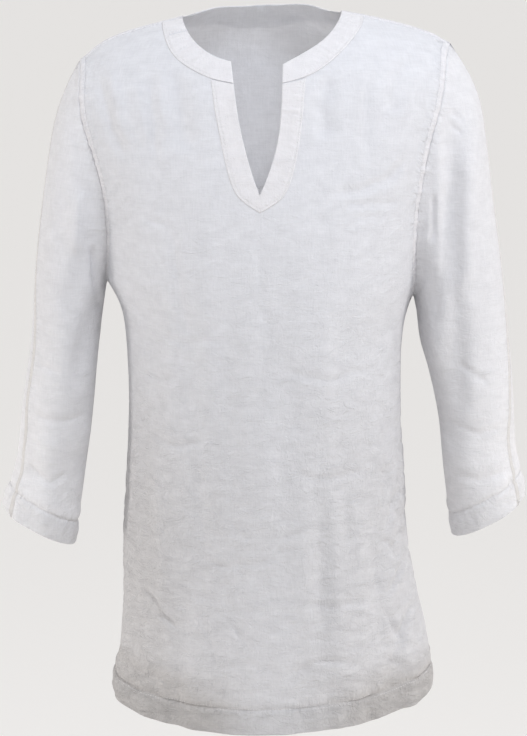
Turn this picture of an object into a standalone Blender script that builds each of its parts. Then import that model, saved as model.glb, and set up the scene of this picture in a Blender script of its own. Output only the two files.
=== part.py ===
"""A linen tunic shirt with a slit neck and three-quarter sleeves, hanging hollow as it is worn.

Metres, +Z up, front towards -Y. Left and right are the wearer's, so +X is the left side. The origin lies midway
between the two neck points, where the shoulder seams meet the neck. Every piece is a wall of cloth: an open grid
of points on the garment's form, thickened inwards by an extrusion.
"""

import math
from collections import namedtuple

import bmesh
import bpy
from mathutils import Vector

# Cloth and seams
CLOTH = 0.0012  # wall of one piece
TURNED_HEM = 0.0008  # extra wall where a hem is turned up
SEAM_GAP = 0.0003  # between two pieces that are sewn together
LAID_ON = 0.0011  # between a panel and a strip that lies on it
LAID_ON_HOLLOW = 0.0017  # the same where the form hollows, at the back of the neck
WELD = 0.00001

# Lengths and heights, all measured from the neck points
HEM_AT_CENTRE = -0.725
HEM_AT_SIDE = {-1: -0.714, 1: -0.706}
HEM_DEPTH = 0.026
CUFF_HEM_DEPTH = 0.025
FACING_TOP_GAP = 0.001

# How many steps the grids take
BODY_ROWS = 17  # from the hem's stitch line to the underarm
YOKE_ROWS = 15  # from the underarm to the shoulder seam
HALF_COLUMNS = 8  # from the centre line to the side seam
SLIT_ROWS = 5
FRONT_NECK_ROWS = 5
BACK_NECK_ROWS = 6
SLEEVE_ROWS = 19  # from the armhole to the cuff's stitch line
BAND_STEPS = 12
FACING_STEPS = 11
STRIP_COLUMNS = 4
NECK_CROWDING = 0.45  # how much the columns close up towards the neck along the shoulder seam
OUTLINE_SAMPLES = 80  # points that measure an outline's length on the form
HALVINGS = 40
ROW_ROUNDS = 6  # rounds in which a row's height settles on the shoulder line's shape

# The form's level sections are superellipses, rounded over towards the shoulder line.
SQUARENESS = 2.15
ROUNDING = 1.7
FRONT_ROUNDING_HEIGHT = 0.075
BACK_ROUNDING_HEIGHT = 0.034  # at the centre, growing outwards
BACK_ROUNDING_GROWTH = 0.14  # for each metre across

Section = namedtuple("Section", "height right left front back")
SECTIONS = (
    Section(-0.725, 0.158, 0.183, 0.138, 0.126),
    Section(-0.700, 0.160, 0.184, 0.137, 0.125),
    Section(-0.684, 0.160, 0.182, 0.134, 0.123),
    Section(-0.662, 0.151, 0.179, 0.133, 0.121),
    Section(-0.641, 0.151, 0.177, 0.133, 0.120),
    Section(-0.608, 0.148, 0.170, 0.131, 0.117),
    Section(-0.541, 0.147, 0.156, 0.128, 0.112),
    Section(-0.476, 0.142, 0.153, 0.127, 0.109),
    Section(-0.410, 0.138, 0.148, 0.126, 0.108),
    Section(-0.346, 0.140, 0.148, 0.126, 0.109),
    Section(-0.316, 0.142, 0.151, 0.127, 0.110),
    Section(-0.290, 0.147, 0.158, 0.127, 0.111),
    Section(-0.268, 0.161, 0.163, 0.127, 0.112),
    Section(-0.240, 0.163, 0.166, 0.126, 0.113),
    Section(-0.212, 0.167, 0.170, 0.125, 0.114),
    Section(-0.185, 0.173, 0.176, 0.122, 0.114),
    Section(-0.151, 0.185, 0.187, 0.117, 0.113),
    Section(-0.128, 0.195, 0.194, 0.112, 0.111),
    Section(-0.100, 0.207, 0.203, 0.106, 0.108),
    Section(-0.070, 0.216, 0.211, 0.101, 0.105),
    Section(-0.030, 0.222, 0.219, 0.094, 0.101),
    Section(0.050, 0.222, 0.222, 0.088, 0.098),
)

# The shoulder line seen from the front, and how far the back of the neck stands above it
Ridge = namedtuple("Ridge", "across height")
SHOULDER_LINE = (
    Ridge(-0.230, -0.110),
    Ridge(-0.202, -0.058),
    Ridge(-0.188, -0.041),
    Ridge(-0.178, -0.031),
    Ridge(-0.153, -0.015),
    Ridge(-0.096, 0.000),
    Ridge(-0.081, 0.003),
    Ridge(0.083, 0.008),
    Ridge(0.131, 0.000),
    Ridge(0.182, -0.015),
    Ridge(0.197, -0.025),
    Ridge(0.217, -0.048),
    Ridge(0.235, -0.090),
)
BACK_NECK_RISE = (
    Ridge(-0.081, 0.0000),
    Ridge(-0.075, 0.0013),
    Ridge(-0.064, 0.0055),
    Ridge(-0.050, 0.0110),
    Ridge(-0.036, 0.0155),
    Ridge(-0.018, 0.0188),
    Ridge(0.000, 0.0195),
    Ridge(0.018, 0.0194),
    Ridge(0.036, 0.0164),
    Ridge(0.050, 0.0117),
    Ridge(0.064, 0.0057),
    Ridge(0.076, 0.0013),
    Ridge(0.083, 0.0000),
)

# Soft folds of the body: a trough (or a ridge, with a negative depth) along a line seen from the front
Fold = namedtuple("Fold", "face x0 z0 x1 z1 width depth")
FRONT, BACK = -1, 1
BODY_FOLDS = (
    Fold(FRONT, -0.098, -0.060, -0.092, -0.190, 0.016, 0.004),
    Fold(FRONT, -0.072, -0.075, -0.078, -0.170, 0.014, -0.003),
    Fold(FRONT, -0.150, -0.262, -0.118, -0.330, 0.020, 0.006),
    Fold(FRONT, 0.152, -0.285, 0.108, -0.330, 0.020, 0.006),
    Fold(FRONT, 0.118, -0.470, 0.142, -0.650, 0.022, 0.007),
    Fold(FRONT, 0.086, -0.500, 0.098, -0.660, 0.020, -0.004),
    Fold(FRONT, -0.105, -0.590, -0.080, -0.670, 0.020, 0.006),
    Fold(FRONT, -0.120, -0.430, -0.125, -0.560, 0.020, 0.004),
    Fold(BACK, -0.070, -0.300, -0.050, -0.600, 0.024, 0.007),
    Fold(BACK, 0.060, -0.280, 0.078, -0.640, 0.026, 0.008),
    Fold(BACK, 0.005, -0.330, 0.012, -0.660, 0.022, -0.005),
    Fold(BACK, -0.140, -0.255, -0.105, -0.330, 0.020, 0.006),
    Fold(BACK, 0.142, -0.270, 0.102, -0.350, 0.020, 0.006),
)

# Armholes: where the seam crosses the shoulder line and the underarm, and how far it sweeps to front and back
Armhole = namedtuple("Armhole", "tip_across underarm_height front back fullness")
ARMHOLES = {
    -1: Armhole(0.188, -0.268, 0.056, 0.056, 0.15),
    1: Armhole(0.196, -0.285, 0.057, 0.057, 0.15),
}
CENTRE_UNDERARM = (ARMHOLES[-1].underarm_height + ARMHOLES[1].underarm_height) / 2

# Neck opening, slit, band and facing seen from the front: half-outlines from the outside in or downwards
Point = namedtuple("Point", "across height")
FRONT_NECK = {
    -1: (
        Point(-0.081, 0.003),
        Point(-0.0795, -0.001),
        Point(-0.076, -0.008),
        Point(-0.070, -0.017),
        Point(-0.056, -0.029),
        Point(-0.042, -0.036),
        Point(-0.030, -0.038),
    ),
    1: (
        Point(0.083, 0.008),
        Point(0.0815, 0.004),
        Point(0.077, -0.003),
        Point(0.069, -0.013),
        Point(0.056, -0.023),
        Point(0.037, -0.033),
        Point(0.022, -0.041),
    ),
}
BACK_NECK = {
    -1: (
        Point(-0.081, 0.003),
        Point(-0.0795, 0.0018),
        Point(-0.070, 0.0028),
        Point(-0.054, 0.0062),
        Point(-0.030, 0.0108),
        Point(0.000, 0.0130),
    ),
    1: (
        Point(0.083, 0.008),
        Point(0.0815, 0.0062),
        Point(0.071, 0.0062),
        Point(0.054, 0.0102),
        Point(0.030, 0.0136),
        Point(0.000, 0.0130),
    ),
}
SLIT_EDGE = {
    -1: (
        Point(-0.030, -0.038),
        Point(-0.0275, -0.057),
        Point(-0.023, -0.092),
        Point(-0.0145, -0.129),
        Point(-0.0065, -0.156),
        Point(-0.001, -0.169),
    ),
    1: (
        Point(0.022, -0.041),
        Point(0.0215, -0.057),
        Point(0.020, -0.095),
        Point(0.015, -0.126),
        Point(0.008, -0.148),
        Point(-0.001, -0.169),
    ),
}
BAND_EDGE = {
    -1: (
        Point(-0.102, -0.001),
        Point(-0.101, -0.006),
        Point(-0.095, -0.023),
        Point(-0.086, -0.035),
        Point(-0.073, -0.044),
        Point(-0.050, -0.054),
        Point(-0.0275, -0.058),
    ),
    1: (
        Point(0.106, 0.005),
        Point(0.104, -0.002),
        Point(0.097, -0.012),
        Point(0.083, -0.027),
        Point(0.068, -0.040),
        Point(0.045, -0.052),
        Point(0.0215, -0.058),
    ),
}
BACK_BAND_EDGE = {
    -1: (
        Point(-0.102, -0.001),
        Point(-0.100, -0.004),
        Point(-0.088, -0.009),
        Point(-0.066, -0.010),
        Point(-0.036, -0.007),
        Point(0.000, -0.005),
    ),
    1: (
        Point(0.106, 0.005),
        Point(0.103, 0.001),
        Point(0.090, -0.005),
        Point(0.068, -0.007),
        Point(0.036, -0.005),
        Point(0.000, -0.005),
    ),
}
FACING_EDGE = {
    -1: (
        Point(-0.050, -0.054),
        Point(-0.047, -0.080),
        Point(-0.042, -0.106),
        Point(-0.035, -0.139),
        Point(-0.025, -0.169),
        Point(-0.001, -0.186),
    ),
    1: (
        Point(0.045, -0.053),
        Point(0.043, -0.080),
        Point(0.041, -0.100),
        Point(0.035, -0.137),
        Point(0.023, -0.171),
        Point(-0.001, -0.186),
    ),
}

# Sleeves: each ring's outer and inner side seen from the front, its depth, and how far forward the outer seam runs
Ring = namedtuple("Ring", "outer_across outer_height inner_across inner_height front back seam_turn")
SLEEVE_RINGS = {
    -1: (
        Ring(0.212, -0.090, 0.1625, -0.272, 0.058, 0.058, 0),
        Ring(0.221, -0.139, 0.1635, -0.278, 0.060, 0.060, 2),
        Ring(0.230, -0.202, 0.165, -0.290, 0.060, 0.060, 10),
        Ring(0.238, -0.266, 0.168, -0.312, 0.058, 0.058, 25),
        Ring(0.242, -0.330, 0.173, -0.352, 0.055, 0.055, 38),
        Ring(0.253, -0.394, 0.178, -0.410, 0.052, 0.052, 40),
        Ring(0.262, -0.459, 0.187, -0.475, 0.049, 0.050, 44),
        Ring(0.2765, -0.511, 0.199, -0.553, 0.048, 0.050, 50),
    ),
    1: (
        Ring(0.227, -0.075, 0.1615, -0.289, 0.058, 0.058, 0),
        Ring(0.234, -0.120, 0.162, -0.293, 0.060, 0.060, 2),
        Ring(0.243, -0.190, 0.164, -0.303, 0.060, 0.060, 6),
        Ring(0.252, -0.250, 0.167, -0.330, 0.058, 0.058, 12),
        Ring(0.260, -0.320, 0.177, -0.364, 0.055, 0.055, 22),
        Ring(0.267, -0.390, 0.188, -0.415, 0.052, 0.052, 34),
        Ring(0.271, -0.445, 0.194, -0.472, 0.049, 0.050, 42),
        Ring(0.282, -0.500, 0.205, -0.544, 0.048, 0.050, 46),
    ),
}
ARMHOLE_BLEND = 0.30  # share of the sleeve over which its rings leave the armhole's shape
FOLD_BLEND = 0.12  # share of the sleeve over which its folds set in

# Soft folds of the sleeves: along the sleeve from 0 at the armhole to 1 at the cuff, turning round from the
# outer side (0 degrees) over the front (90) to the inner side (180)
SleeveFold = namedtuple("SleeveFold", "side along0 turn0 along1 turn1 width depth")
SLEEVE_FOLDS = (
    SleeveFold(-1, 0.30, 150, 0.52, 120, 0.016, 0.006),
    SleeveFold(-1, 0.10, 120, 0.34, 95, 0.014, 0.004),
    SleeveFold(-1, 0.66, 150, 0.74, 40, 0.014, 0.004),
    SleeveFold(-1, 0.80, 150, 0.86, 30, 0.014, 0.005),
    SleeveFold(1, 0.06, 80, 0.62, 118, 0.012, 0.006),
    SleeveFold(1, 0.12, 110, 0.50, 140, 0.012, -0.004),
    SleeveFold(1, 0.70, 150, 0.80, 40, 0.014, 0.004),
    SleeveFold(-1, 0.20, -120, 0.55, -90, 0.016, 0.005),
    SleeveFold(1, 0.20, -115, 0.55, -95, 0.016, 0.005),
    SleeveFold(-1, 0.64, -60, 0.72, -140, 0.014, 0.004),
    SleeveFold(1, 0.66, -50, 0.74, -140, 0.014, 0.004),
)

LINEN_COLOUR = (0.80, 0.80, 0.82, 1.0)
LINEN_ROUGHNESS = 0.85


def smooth_curve(keys, values):
    """A function through the values that never overshoots between two of them (monotone cubic)."""
    steps = [after - before for before, after in zip(keys, keys[1:])]
    slopes = [(after - before) / step for before, after, step in zip(values, values[1:], steps)]
    tangents = [slopes[0]]
    for left, right, before, after in zip(slopes, slopes[1:], steps, steps[1:]):
        if left * right <= 0:
            tangents.append(0.0)
            continue
        near, far = 2 * after + before, after + 2 * before
        tangents.append((near + far) / (near / left + far / right))
    tangents.append(slopes[-1])

    def value(key):
        if key <= keys[0]:
            return values[0]
        if key >= keys[-1]:
            return values[-1]
        i = max(index for index, start in enumerate(keys[:-1]) if start <= key)
        t = (key - keys[i]) / steps[i]
        return (
            (1 + 2 * t) * (1 - t) ** 2 * values[i]
            + t * (1 - t) ** 2 * steps[i] * tangents[i]
            + t * t * (3 - 2 * t) * values[i + 1]
            + t * t * (t - 1) * steps[i] * tangents[i + 1]
        )

    return value


def table_column(rows, column):
    """A smooth function of the table's first column, through one of its other columns."""
    return smooth_curve([row[0] for row in rows], [getattr(row, column) for row in rows])


half_widths = {-1: table_column(SECTIONS, "right"), 1: table_column(SECTIONS, "left")}
depths = {FRONT: table_column(SECTIONS, "front"), BACK: table_column(SECTIONS, "back")}
shoulder_height = table_column(SHOULDER_LINE, "height")
back_neck_rise = table_column(BACK_NECK_RISE, "height")


def distance_to_line(x, z, x0, z0, x1, z1):
    along = ((x - x0) * (x1 - x0) + (z - z0) * (z1 - z0)) / ((x1 - x0) ** 2 + (z1 - z0) ** 2)
    along = min(max(along, 0.0), 1.0)
    return math.hypot(x - x0 - along * (x1 - x0), z - z0 - along * (z1 - z0))


def fold_depth(face, x, z):
    total = 0.0
    for fold in BODY_FOLDS:
        if fold.face == face:
            away = distance_to_line(x, z, fold.x0, fold.z0, fold.x1, fold.z1)
            total += fold.depth * math.exp(-((away / fold.width) ** 2))
    return total


def ridge_height(face, x):
    """The top of the form over x: the shoulder line, raised at the back of the neck."""
    return shoulder_height(x) + (back_neck_rise(x) if face == BACK else 0.0)


def form_depth(face, x, z):
    """How far the form stands in front of (or behind) the plane of the side seams at x and z."""
    share = min(abs(x) / half_widths[1 if x > 0 else -1](z), 1.0)
    across = (1 - share**SQUARENESS) ** (1 / SQUARENESS)
    rounding_height = FRONT_ROUNDING_HEIGHT
    if face == BACK:
        rounding_height = BACK_ROUNDING_HEIGHT + BACK_ROUNDING_GROWTH * abs(x)
    drop = min(max((ridge_height(face, x) - z) / rounding_height, 0.0), 1.0)
    over_shoulder = (1 - (1 - drop) ** ROUNDING) ** (1 / ROUNDING)
    flat = depths[face](z) * across * over_shoulder
    return max(flat - fold_depth(face, x, z) * across * over_shoulder, 0.0)


def on_form(face, x, z):
    return Vector((x, face * form_depth(face, x, z), z))


def across_at_depth(face, side, depth, z):
    """How far out the form has this depth at this height, found by halving."""
    near, far = 0.0, half_widths[side](z)
    for _ in range(HALVINGS):
        middle = (near + far) / 2
        if form_depth(face, side * middle, z) > depth:
            near = middle
        else:
            far = middle
    return side * (near + far) / 2


def armhole_seam(face, side):
    """The armhole's points on one face, from the underarm to the shoulder tip."""
    hole = ARMHOLES[side]
    tip_height = shoulder_height(side * hole.tip_across)
    middle = (tip_height + hole.underarm_height) / 2
    half_height = (tip_height - hole.underarm_height) / 2
    sweep = hole.front if face == FRONT else hole.back
    underarm = Vector((side * half_widths[side](hole.underarm_height), 0, hole.underarm_height))
    points = [underarm]
    for step in range(1, YOKE_ROWS):
        turn = math.pi * (1 - step / YOKE_ROWS)
        height = middle + half_height * math.cos(turn)
        depth = sweep * math.sin(turn) * (1 + hole.fullness * math.cos(turn))
        points.append(Vector((across_at_depth(face, side, depth, height), face * depth, height)))
    points.append(Vector((side * hole.tip_across, 0, tip_height)))
    return points


def smooth_outline(face, points, steps):
    """The outline's smooth curve laid on the form, as evenly spaced (across, height) pairs."""
    lengths = [0.0]
    for before, after in zip(points, points[1:]):
        lengths.append(lengths[-1] + math.dist(before, after))
    across = smooth_curve(lengths, [point.across for point in points])
    height = smooth_curve(lengths, [point.height for point in points])
    places = [lengths[-1] * i / OUTLINE_SAMPLES for i in range(OUTLINE_SAMPLES + 1)]
    dense = [(across(place), height(place)) for place in places]
    laid = [on_form(face, x, z) for x, z in dense]
    reach = [0.0]
    for before, after in zip(laid, laid[1:]):
        reach.append(reach[-1] + (after - before).length)
    even = []
    index = 0
    for step in range(steps + 1):
        goal = reach[-1] * step / steps
        while index < OUTLINE_SAMPLES - 1 and reach[index + 1] < goal:
            index += 1
        share = (goal - reach[index]) / (reach[index + 1] - reach[index])
        (x0, z0), (x1, z1) = dense[index], dense[index + 1]
        even.append((x0 + share * (x1 - x0), z0 + share * (z1 - z0)))
    return even


def panel_row(face, side, inner, outer, over_shoulder):
    """Points on the form from an inner to an outer (across, height) pair, closer together towards the side.

    The row's height runs straight where over_shoulder is 0, and keeps to the shoulder line's shape where it is 1.
    """
    turns = []
    for x, z in (inner, outer):
        share = min(abs(x) / half_widths[side](z), 1.0)
        turns.append(math.copysign(math.asin(share ** (SQUARENESS / 2)), x * side))
    drops = [ridge_height(face, x) - z for x, z in (inner, outer)]
    row = []
    for column in range(HALF_COLUMNS + 1):
        share = (column / HALF_COLUMNS) ** (1 + NECK_CROWDING * over_shoulder)
        turn = turns[0] + share * (turns[1] - turns[0])
        drop = drops[0] + share * (drops[1] - drops[0])
        straight = inner[1] + share * (outer[1] - inner[1])
        z = straight
        for _ in range(ROW_ROUNDS):
            reach = math.copysign(abs(math.sin(turn)) ** (2 / SQUARENESS), turn)
            x = side * half_widths[side](z) * reach
            z = straight + over_shoulder * (ridge_height(face, x) - drop - straight)
        row.append(on_form(face, x, z))
    return row


def body_half(face, side):
    """One half of the front or the back, as rows of points from the hem up to the shoulder seam."""
    underarm = ARMHOLES[side].underarm_height
    hem = HEM_AT_SIDE[side]
    heights = [(HEM_AT_CENTRE + rise, hem + rise) for rise in (0.0, HEM_DEPTH / 2)]
    for step in range(BODY_ROWS):
        share = step / BODY_ROWS
        at_centre = HEM_AT_CENTRE + HEM_DEPTH + share * (CENTRE_UNDERARM - HEM_AT_CENTRE - HEM_DEPTH)
        heights.append((at_centre, hem + HEM_DEPTH + share * (underarm - hem - HEM_DEPTH)))
    rows = []
    for at_centre, at_side in heights:
        row = panel_row(face, side, (0.0, at_centre), (side * half_widths[side](at_side), at_side), 0.0)
        row[-1].y = 0.0
        rows.append(row)
    seam = armhole_seam(face, side)
    for step, (inner, outer) in enumerate(zip(centre_edge(face, side), seam)):
        row = panel_row(face, side, inner, (outer.x, outer.z), (step / YOKE_ROWS) ** 2)
        row[-1] = outer
        rows.append(row)
    for point in rows[-1]:
        point.y = 0.0
    return rows


def centre_edge(face, side):
    """The inner edge of a half above the underarm: the centre line, the slit at the front, and round the neck."""
    if face == BACK:
        neck = smooth_outline(face, BACK_NECK[side], BACK_NECK_ROWS)
        slit = []
        top = BACK_NECK[side][-1]
        rows = YOKE_ROWS - BACK_NECK_ROWS
    else:
        neck = smooth_outline(face, FRONT_NECK[side], FRONT_NECK_ROWS)
        slit = smooth_outline(face, SLIT_EDGE[side], SLIT_ROWS)[:0:-1]
        top = SLIT_EDGE[side][-1]
        rows = YOKE_ROWS - FRONT_NECK_ROWS - SLIT_ROWS
    edge = []
    for row in range(rows):
        share = row / rows
        height = CENTRE_UNDERARM + (top.height - CENTRE_UNDERARM) * share
        edge.append((top.across * share, height))
    return edge + slit + neck[::-1]


def strip(face, inner, outer, steps, first_row=None):
    """A strip's rows between two outlines laid on the form, starting with a given row where there is one."""
    inner_points = smooth_outline(face, inner, steps)
    outer_points = smooth_outline(face, outer, steps)
    rows = []
    for (x0, z0), (x1, z1) in zip(inner_points, outer_points):
        drop0, drop1 = ridge_height(face, x0) - z0, ridge_height(face, x1) - z1
        row = []
        for column in range(STRIP_COLUMNS + 1):
            share = column / STRIP_COLUMNS
            x = x0 + share * (x1 - x0)
            drop = drop0 + share * (drop1 - drop0)
            row.append(on_form(face, x, ridge_height(face, x) - drop))
        rows.append(row)
    if first_row is not None:
        rows[0] = first_row
    return rows


def shoulder_end(side):
    """The line that the front and back neck bands share, along the shoulder seam."""
    inner, outer = FRONT_NECK[side][0], BAND_EDGE[side][0]
    line = []
    for column in range(STRIP_COLUMNS + 1):
        x = inner.across + (outer.across - inner.across) * column / STRIP_COLUMNS
        line.append(Vector((x, 0.0, shoulder_height(x))))
    return line


def sleeve_rings(side):
    """Functions of the share along the sleeve for each column of its table, starting at the armhole."""
    tip = armhole_seam(FRONT, side)[-1]
    underarm = armhole_seam(FRONT, side)[0]
    hole = ARMHOLES[side]
    start = Ring(abs(tip.x), tip.z, abs(underarm.x), underarm.z, hole.front, hole.back, 0)
    rings = (start,) + SLEEVE_RINGS[side]
    reach = [0.0]
    for before, after in zip(rings, rings[1:]):
        outer = math.dist(before[0:2], after[0:2])
        inner = math.dist(before[2:4], after[2:4])
        reach.append(reach[-1] + (outer + inner) / 2)
    shares = [length / reach[-1] for length in reach]
    columns = {name: smooth_curve(shares, [getattr(ring, name) for ring in rings]) for name in Ring._fields}
    return columns, reach[-1]


def ring_point(columns, side, share, turn):
    """A point on a sleeve's ring: 0 at the outer side, 90 degrees at the front, 180 at the inner side."""
    outer = Vector((side * columns["outer_across"](share), 0, columns["outer_height"](share)))
    inner = Vector((side * columns["inner_across"](share), 0, columns["inner_height"](share)))
    depth = columns["front" if math.sin(turn) > 0 else "back"](share)
    middle, half = (outer + inner) / 2, (outer - inner) / 2
    return middle + half * math.cos(turn) + Vector((0, -depth * math.sin(turn), 0)), middle


def sleeve_fold_depth(side, share, turn, reach, radius):
    total = 0.0
    for fold in SLEEVE_FOLDS:
        if fold.side != side:
            continue
        start = (fold.along0 * reach, math.radians(fold.turn0) * radius)
        end = (fold.along1 * reach, math.radians(fold.turn1) * radius)
        ways_round = [(turn + whole_turn) * radius for whole_turn in (-2 * math.pi, 0.0, 2 * math.pi)]
        away = min(distance_to_line(share * reach, way, *start, *end) for way in ways_round)
        total += fold.depth * math.exp(-((away / fold.width) ** 2))
    return total


def sleeve_half(face, side):
    """The front or back piece of a sleeve: rows from armhole to cuff, columns from underarm to outer seam."""
    columns, reach = sleeve_rings(side)
    seam = armhole_seam(face, side)
    tip, middle = ring_point(columns, side, 0.0, 0.0)
    half = tip - middle
    cosines = [(point - middle).dot(half) / half.length_squared for point in seam]
    start_turns = [math.acos(min(max(cosine, -1.0), 1.0)) for cosine in cosines]
    start_turns[0], start_turns[-1] = math.pi, 0.0
    stitch_line = 1 - CUFF_HEM_DEPTH / reach
    shares = [stitch_line * row / SLEEVE_ROWS for row in range(SLEEVE_ROWS + 1)]
    shares += [(stitch_line + 1) / 2, 1.0]
    rows = []
    for share in shares:
        seam_turn = math.radians(columns["seam_turn"](share))
        keep_armhole = max(1 - share / ARMHOLE_BLEND, 0.0) ** 2
        row = []
        for point, start in zip(seam, start_turns):
            if face == FRONT:
                turn = math.pi + (seam_turn - math.pi) * (1 - start / math.pi)
            else:
                turn = -math.pi + (seam_turn + math.pi) * (1 - start / math.pi)
            placed, centre = ring_point(columns, side, share, turn)
            first, _ = ring_point(columns, side, 0.0, start if face == FRONT else -start)
            outward = (placed - centre).normalized()
            radius = (placed - centre).length
            folds = min(share / FOLD_BLEND, 1.0) * sleeve_fold_depth(side, share, turn, reach, radius)
            row.append(placed + (point - first) * keep_armhole - outward * folds)
        rows.append(row)
    rows[0] = list(seam)
    return rows


def grid_normals(rows, face):
    """The direction out of the cloth at each point of a grid: forward on a front grid, backward on a back one."""
    last_row, last_column = len(rows) - 1, len(rows[0]) - 1
    normals = []
    for r, row in enumerate(rows):
        line = []
        for c in range(last_column + 1):
            across = row[min(c + 1, last_column)] - row[max(c - 1, 0)]
            along = rows[min(r + 1, last_row)][c] - rows[max(r - 1, 0)][c]
            line.append(across.cross(along).normalized())
        normals.append(line)
    facing = sum(normal.y for line in normals for normal in line) * face
    return [[normal * math.copysign(1.0, facing) for normal in line] for line in normals]


def place_key(point):
    return tuple(round(value, 6) for value in point)


def draw_in(rows, edge):
    """Moves one edge of a grid into its own piece by half of the seam's gap."""
    last_row, last_column = len(rows) - 1, len(rows[0]) - 1
    if edge in ("first column", "last column"):
        column, beside = (0, 1) if edge == "first column" else (last_column, last_column - 1)
        places = [(r, column, r, beside) for r in range(last_row + 1)]
    else:
        row, beside = (0, 1) if edge == "first row" else (last_row, last_row - 1)
        places = [(row, c, beside, c) for c in range(last_column + 1)]
    line = [rows[r][c].copy() for r, c, _, _ in places]
    for i, (r, c, near_r, near_c) in enumerate(places):
        tangent = (line[min(i + 1, len(line) - 1)] - line[max(i - 1, 0)]).normalized()
        inward = rows[near_r][near_c] - line[i]
        inward -= tangent * inward.dot(tangent)
        rows[r][c] = rows[r][c] + inward.normalized() * (SEAM_GAP / 2)


Piece = namedtuple("Piece", "name grids lift")
Grid = namedtuple("Grid", "rows face seams turned")


def all_pieces():
    """Every piece as grids of points on the form, with its seams and its turned rows."""
    pieces = []
    for face, name in ((FRONT, "front_panel"), (BACK, "back_panel")):
        grids = []
        for side in (-1, 1):
            grids.append(Grid(body_half(face, side), face, ("last column", "last row"), "first rows"))
        pieces.append(Piece(name, grids, 0.0))
    for side, side_name in ((-1, "right"), (1, "left")):
        for face, face_name in ((FRONT, "front"), (BACK, "back")):
            grid = Grid(sleeve_half(face, side), face, ("first column", "last column", "first row"), "last rows")
            pieces.append(Piece(f"sleeve_{side_name}_{face_name}", [grid], 0.0))
        rows = strip(FRONT, FRONT_NECK[side], BAND_EDGE[side], BAND_STEPS, shoulder_end(side))
        pieces.append(Piece(f"neck_band_{side_name}", [Grid(rows, FRONT, ("first row",), None)], LAID_ON))
    grids = []
    for side in (-1, 1):
        rows = strip(BACK, BACK_NECK[side], BACK_BAND_EDGE[side], BAND_STEPS, shoulder_end(side))
        grids.append(Grid(rows, BACK, ("first row",), None))
    pieces.append(Piece("neck_band_back", grids, LAID_ON_HOLLOW))
    grids = []
    for side in (-1, 1):
        inner = list(SLIT_EDGE[side][1:])
        inner[0] = Point(inner[0].across, BAND_EDGE[side][-1].height - FACING_TOP_GAP)
        outer = list(FACING_EDGE[side])
        outer[0] = Point(outer[0].across, outer[0].height - FACING_TOP_GAP)
        grids.append(Grid(strip(FRONT, inner, outer, FACING_STEPS), FRONT, (), None))
    pieces.append(Piece("slit_facing", grids, LAID_ON))
    return pieces


def shared_normals(pieces):
    """For each place on the form, the mean direction out of all pieces that meet there."""
    shared = {}
    for piece in pieces:
        for grid in piece.grids:
            for row, normals in zip(grid.rows, grid_normals(grid.rows, grid.face)):
                for point, normal in zip(row, normals):
                    key = place_key(point)
                    shared[key] = shared.get(key, Vector((0, 0, 0))) + normal
    return {key: normal.normalized() for key, normal in shared.items()}


def turned_extra(grid, row):
    """How much a turned hem adds to the outer side of this row."""
    if grid.turned == "first rows" and row <= 1:
        return TURNED_HEM
    if grid.turned == "last rows" and row >= len(grid.rows) - 2:
        return TURNED_HEM
    return 0.0


def build_piece(piece, normals, material, collection):
    """One piece of cloth: its grids welded into one open sheet, then extruded inwards by the cloth's wall."""
    bm = bmesh.new()
    inward = bm.verts.layers.float_vector.new("inward")
    held_off = piece.lift + CLOTH if piece.lift else 0.0
    for grid in piece.grids:
        directions = [[normals[place_key(point)] for point in row] for row in grid.rows]
        rows = [[point.copy() for point in row] for row in grid.rows]
        for edge in grid.seams:
            draw_in(rows, edge)
        made = bmesh.ops.create_grid(bm, x_segments=len(rows[0]) - 1, y_segments=len(rows) - 1, size=1.0)
        verts = iter(made["verts"])
        for r, (row, row_directions) in enumerate(zip(rows, directions)):
            for point, direction in zip(row, row_directions):
                vert = next(verts)
                vert.co = point + direction * (held_off + turned_extra(grid, r))
                vert[inward] = -direction * (CLOTH + turned_extra(grid, r))
    bmesh.ops.remove_doubles(bm, verts=bm.verts, dist=WELD)
    made = bmesh.ops.extrude_face_region(bm, geom=bm.faces[:])
    for item in made["geom"]:
        if isinstance(item, bmesh.types.BMVert):
            item.co += item[inward]
    bmesh.ops.recalc_face_normals(bm, faces=bm.faces[:])
    mesh = bpy.data.meshes.new(piece.name)
    bm.to_mesh(mesh)
    bm.free()
    mesh.shade_smooth()
    mesh.materials.append(material)
    cloth = bpy.data.objects.new(piece.name, mesh)
    collection.objects.link(cloth)
    return cloth


def linen(name):
    material = bpy.data.materials.new(name)
    material.use_nodes = True
    shader = material.node_tree.nodes["Principled BSDF"]
    shader.inputs["Base Color"].default_value = LINEN_COLOUR
    shader.inputs["Roughness"].default_value = LINEN_ROUGHNESS
    shader.inputs["Metallic"].default_value = 0.0
    return material


for existing in list(bpy.data.objects):
    bpy.data.objects.remove(existing)

shirt = bpy.data.collections.new("linen_tunic_shirt")
bpy.context.scene.collection.children.link(shirt)

all_cloth = all_pieces()
outward_at = shared_normals(all_cloth)
for cloth_piece in all_cloth:
    build_piece(cloth_piece, outward_at, linen(f"{cloth_piece.name}_linen"), shirt)
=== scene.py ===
# %% [markdown]
# # Dressing a linen tunic shirt
# The shirt is white linen with a slit neck, an applied neck band and three-quarter sleeves. The model that
# is loaded here has its form and its ten pieces of cloth, but each is a smooth wall. This lesson turns
# every one into a thin sheet of crumpled linen, and then adds the felled seams, the turned hems and the
# stitches. Lengths are metres unless a name says otherwise, +Z is up, the front faces -Y and +X is the
# shirt's left side.

# %% Load the form
import math
from collections import namedtuple
from itertools import product

import bmesh
import bpy
import numpy as np
from mathutils import Matrix, Vector
from mathutils.bvhtree import BVHTree
from mathutils.kdtree import KDTree


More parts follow.
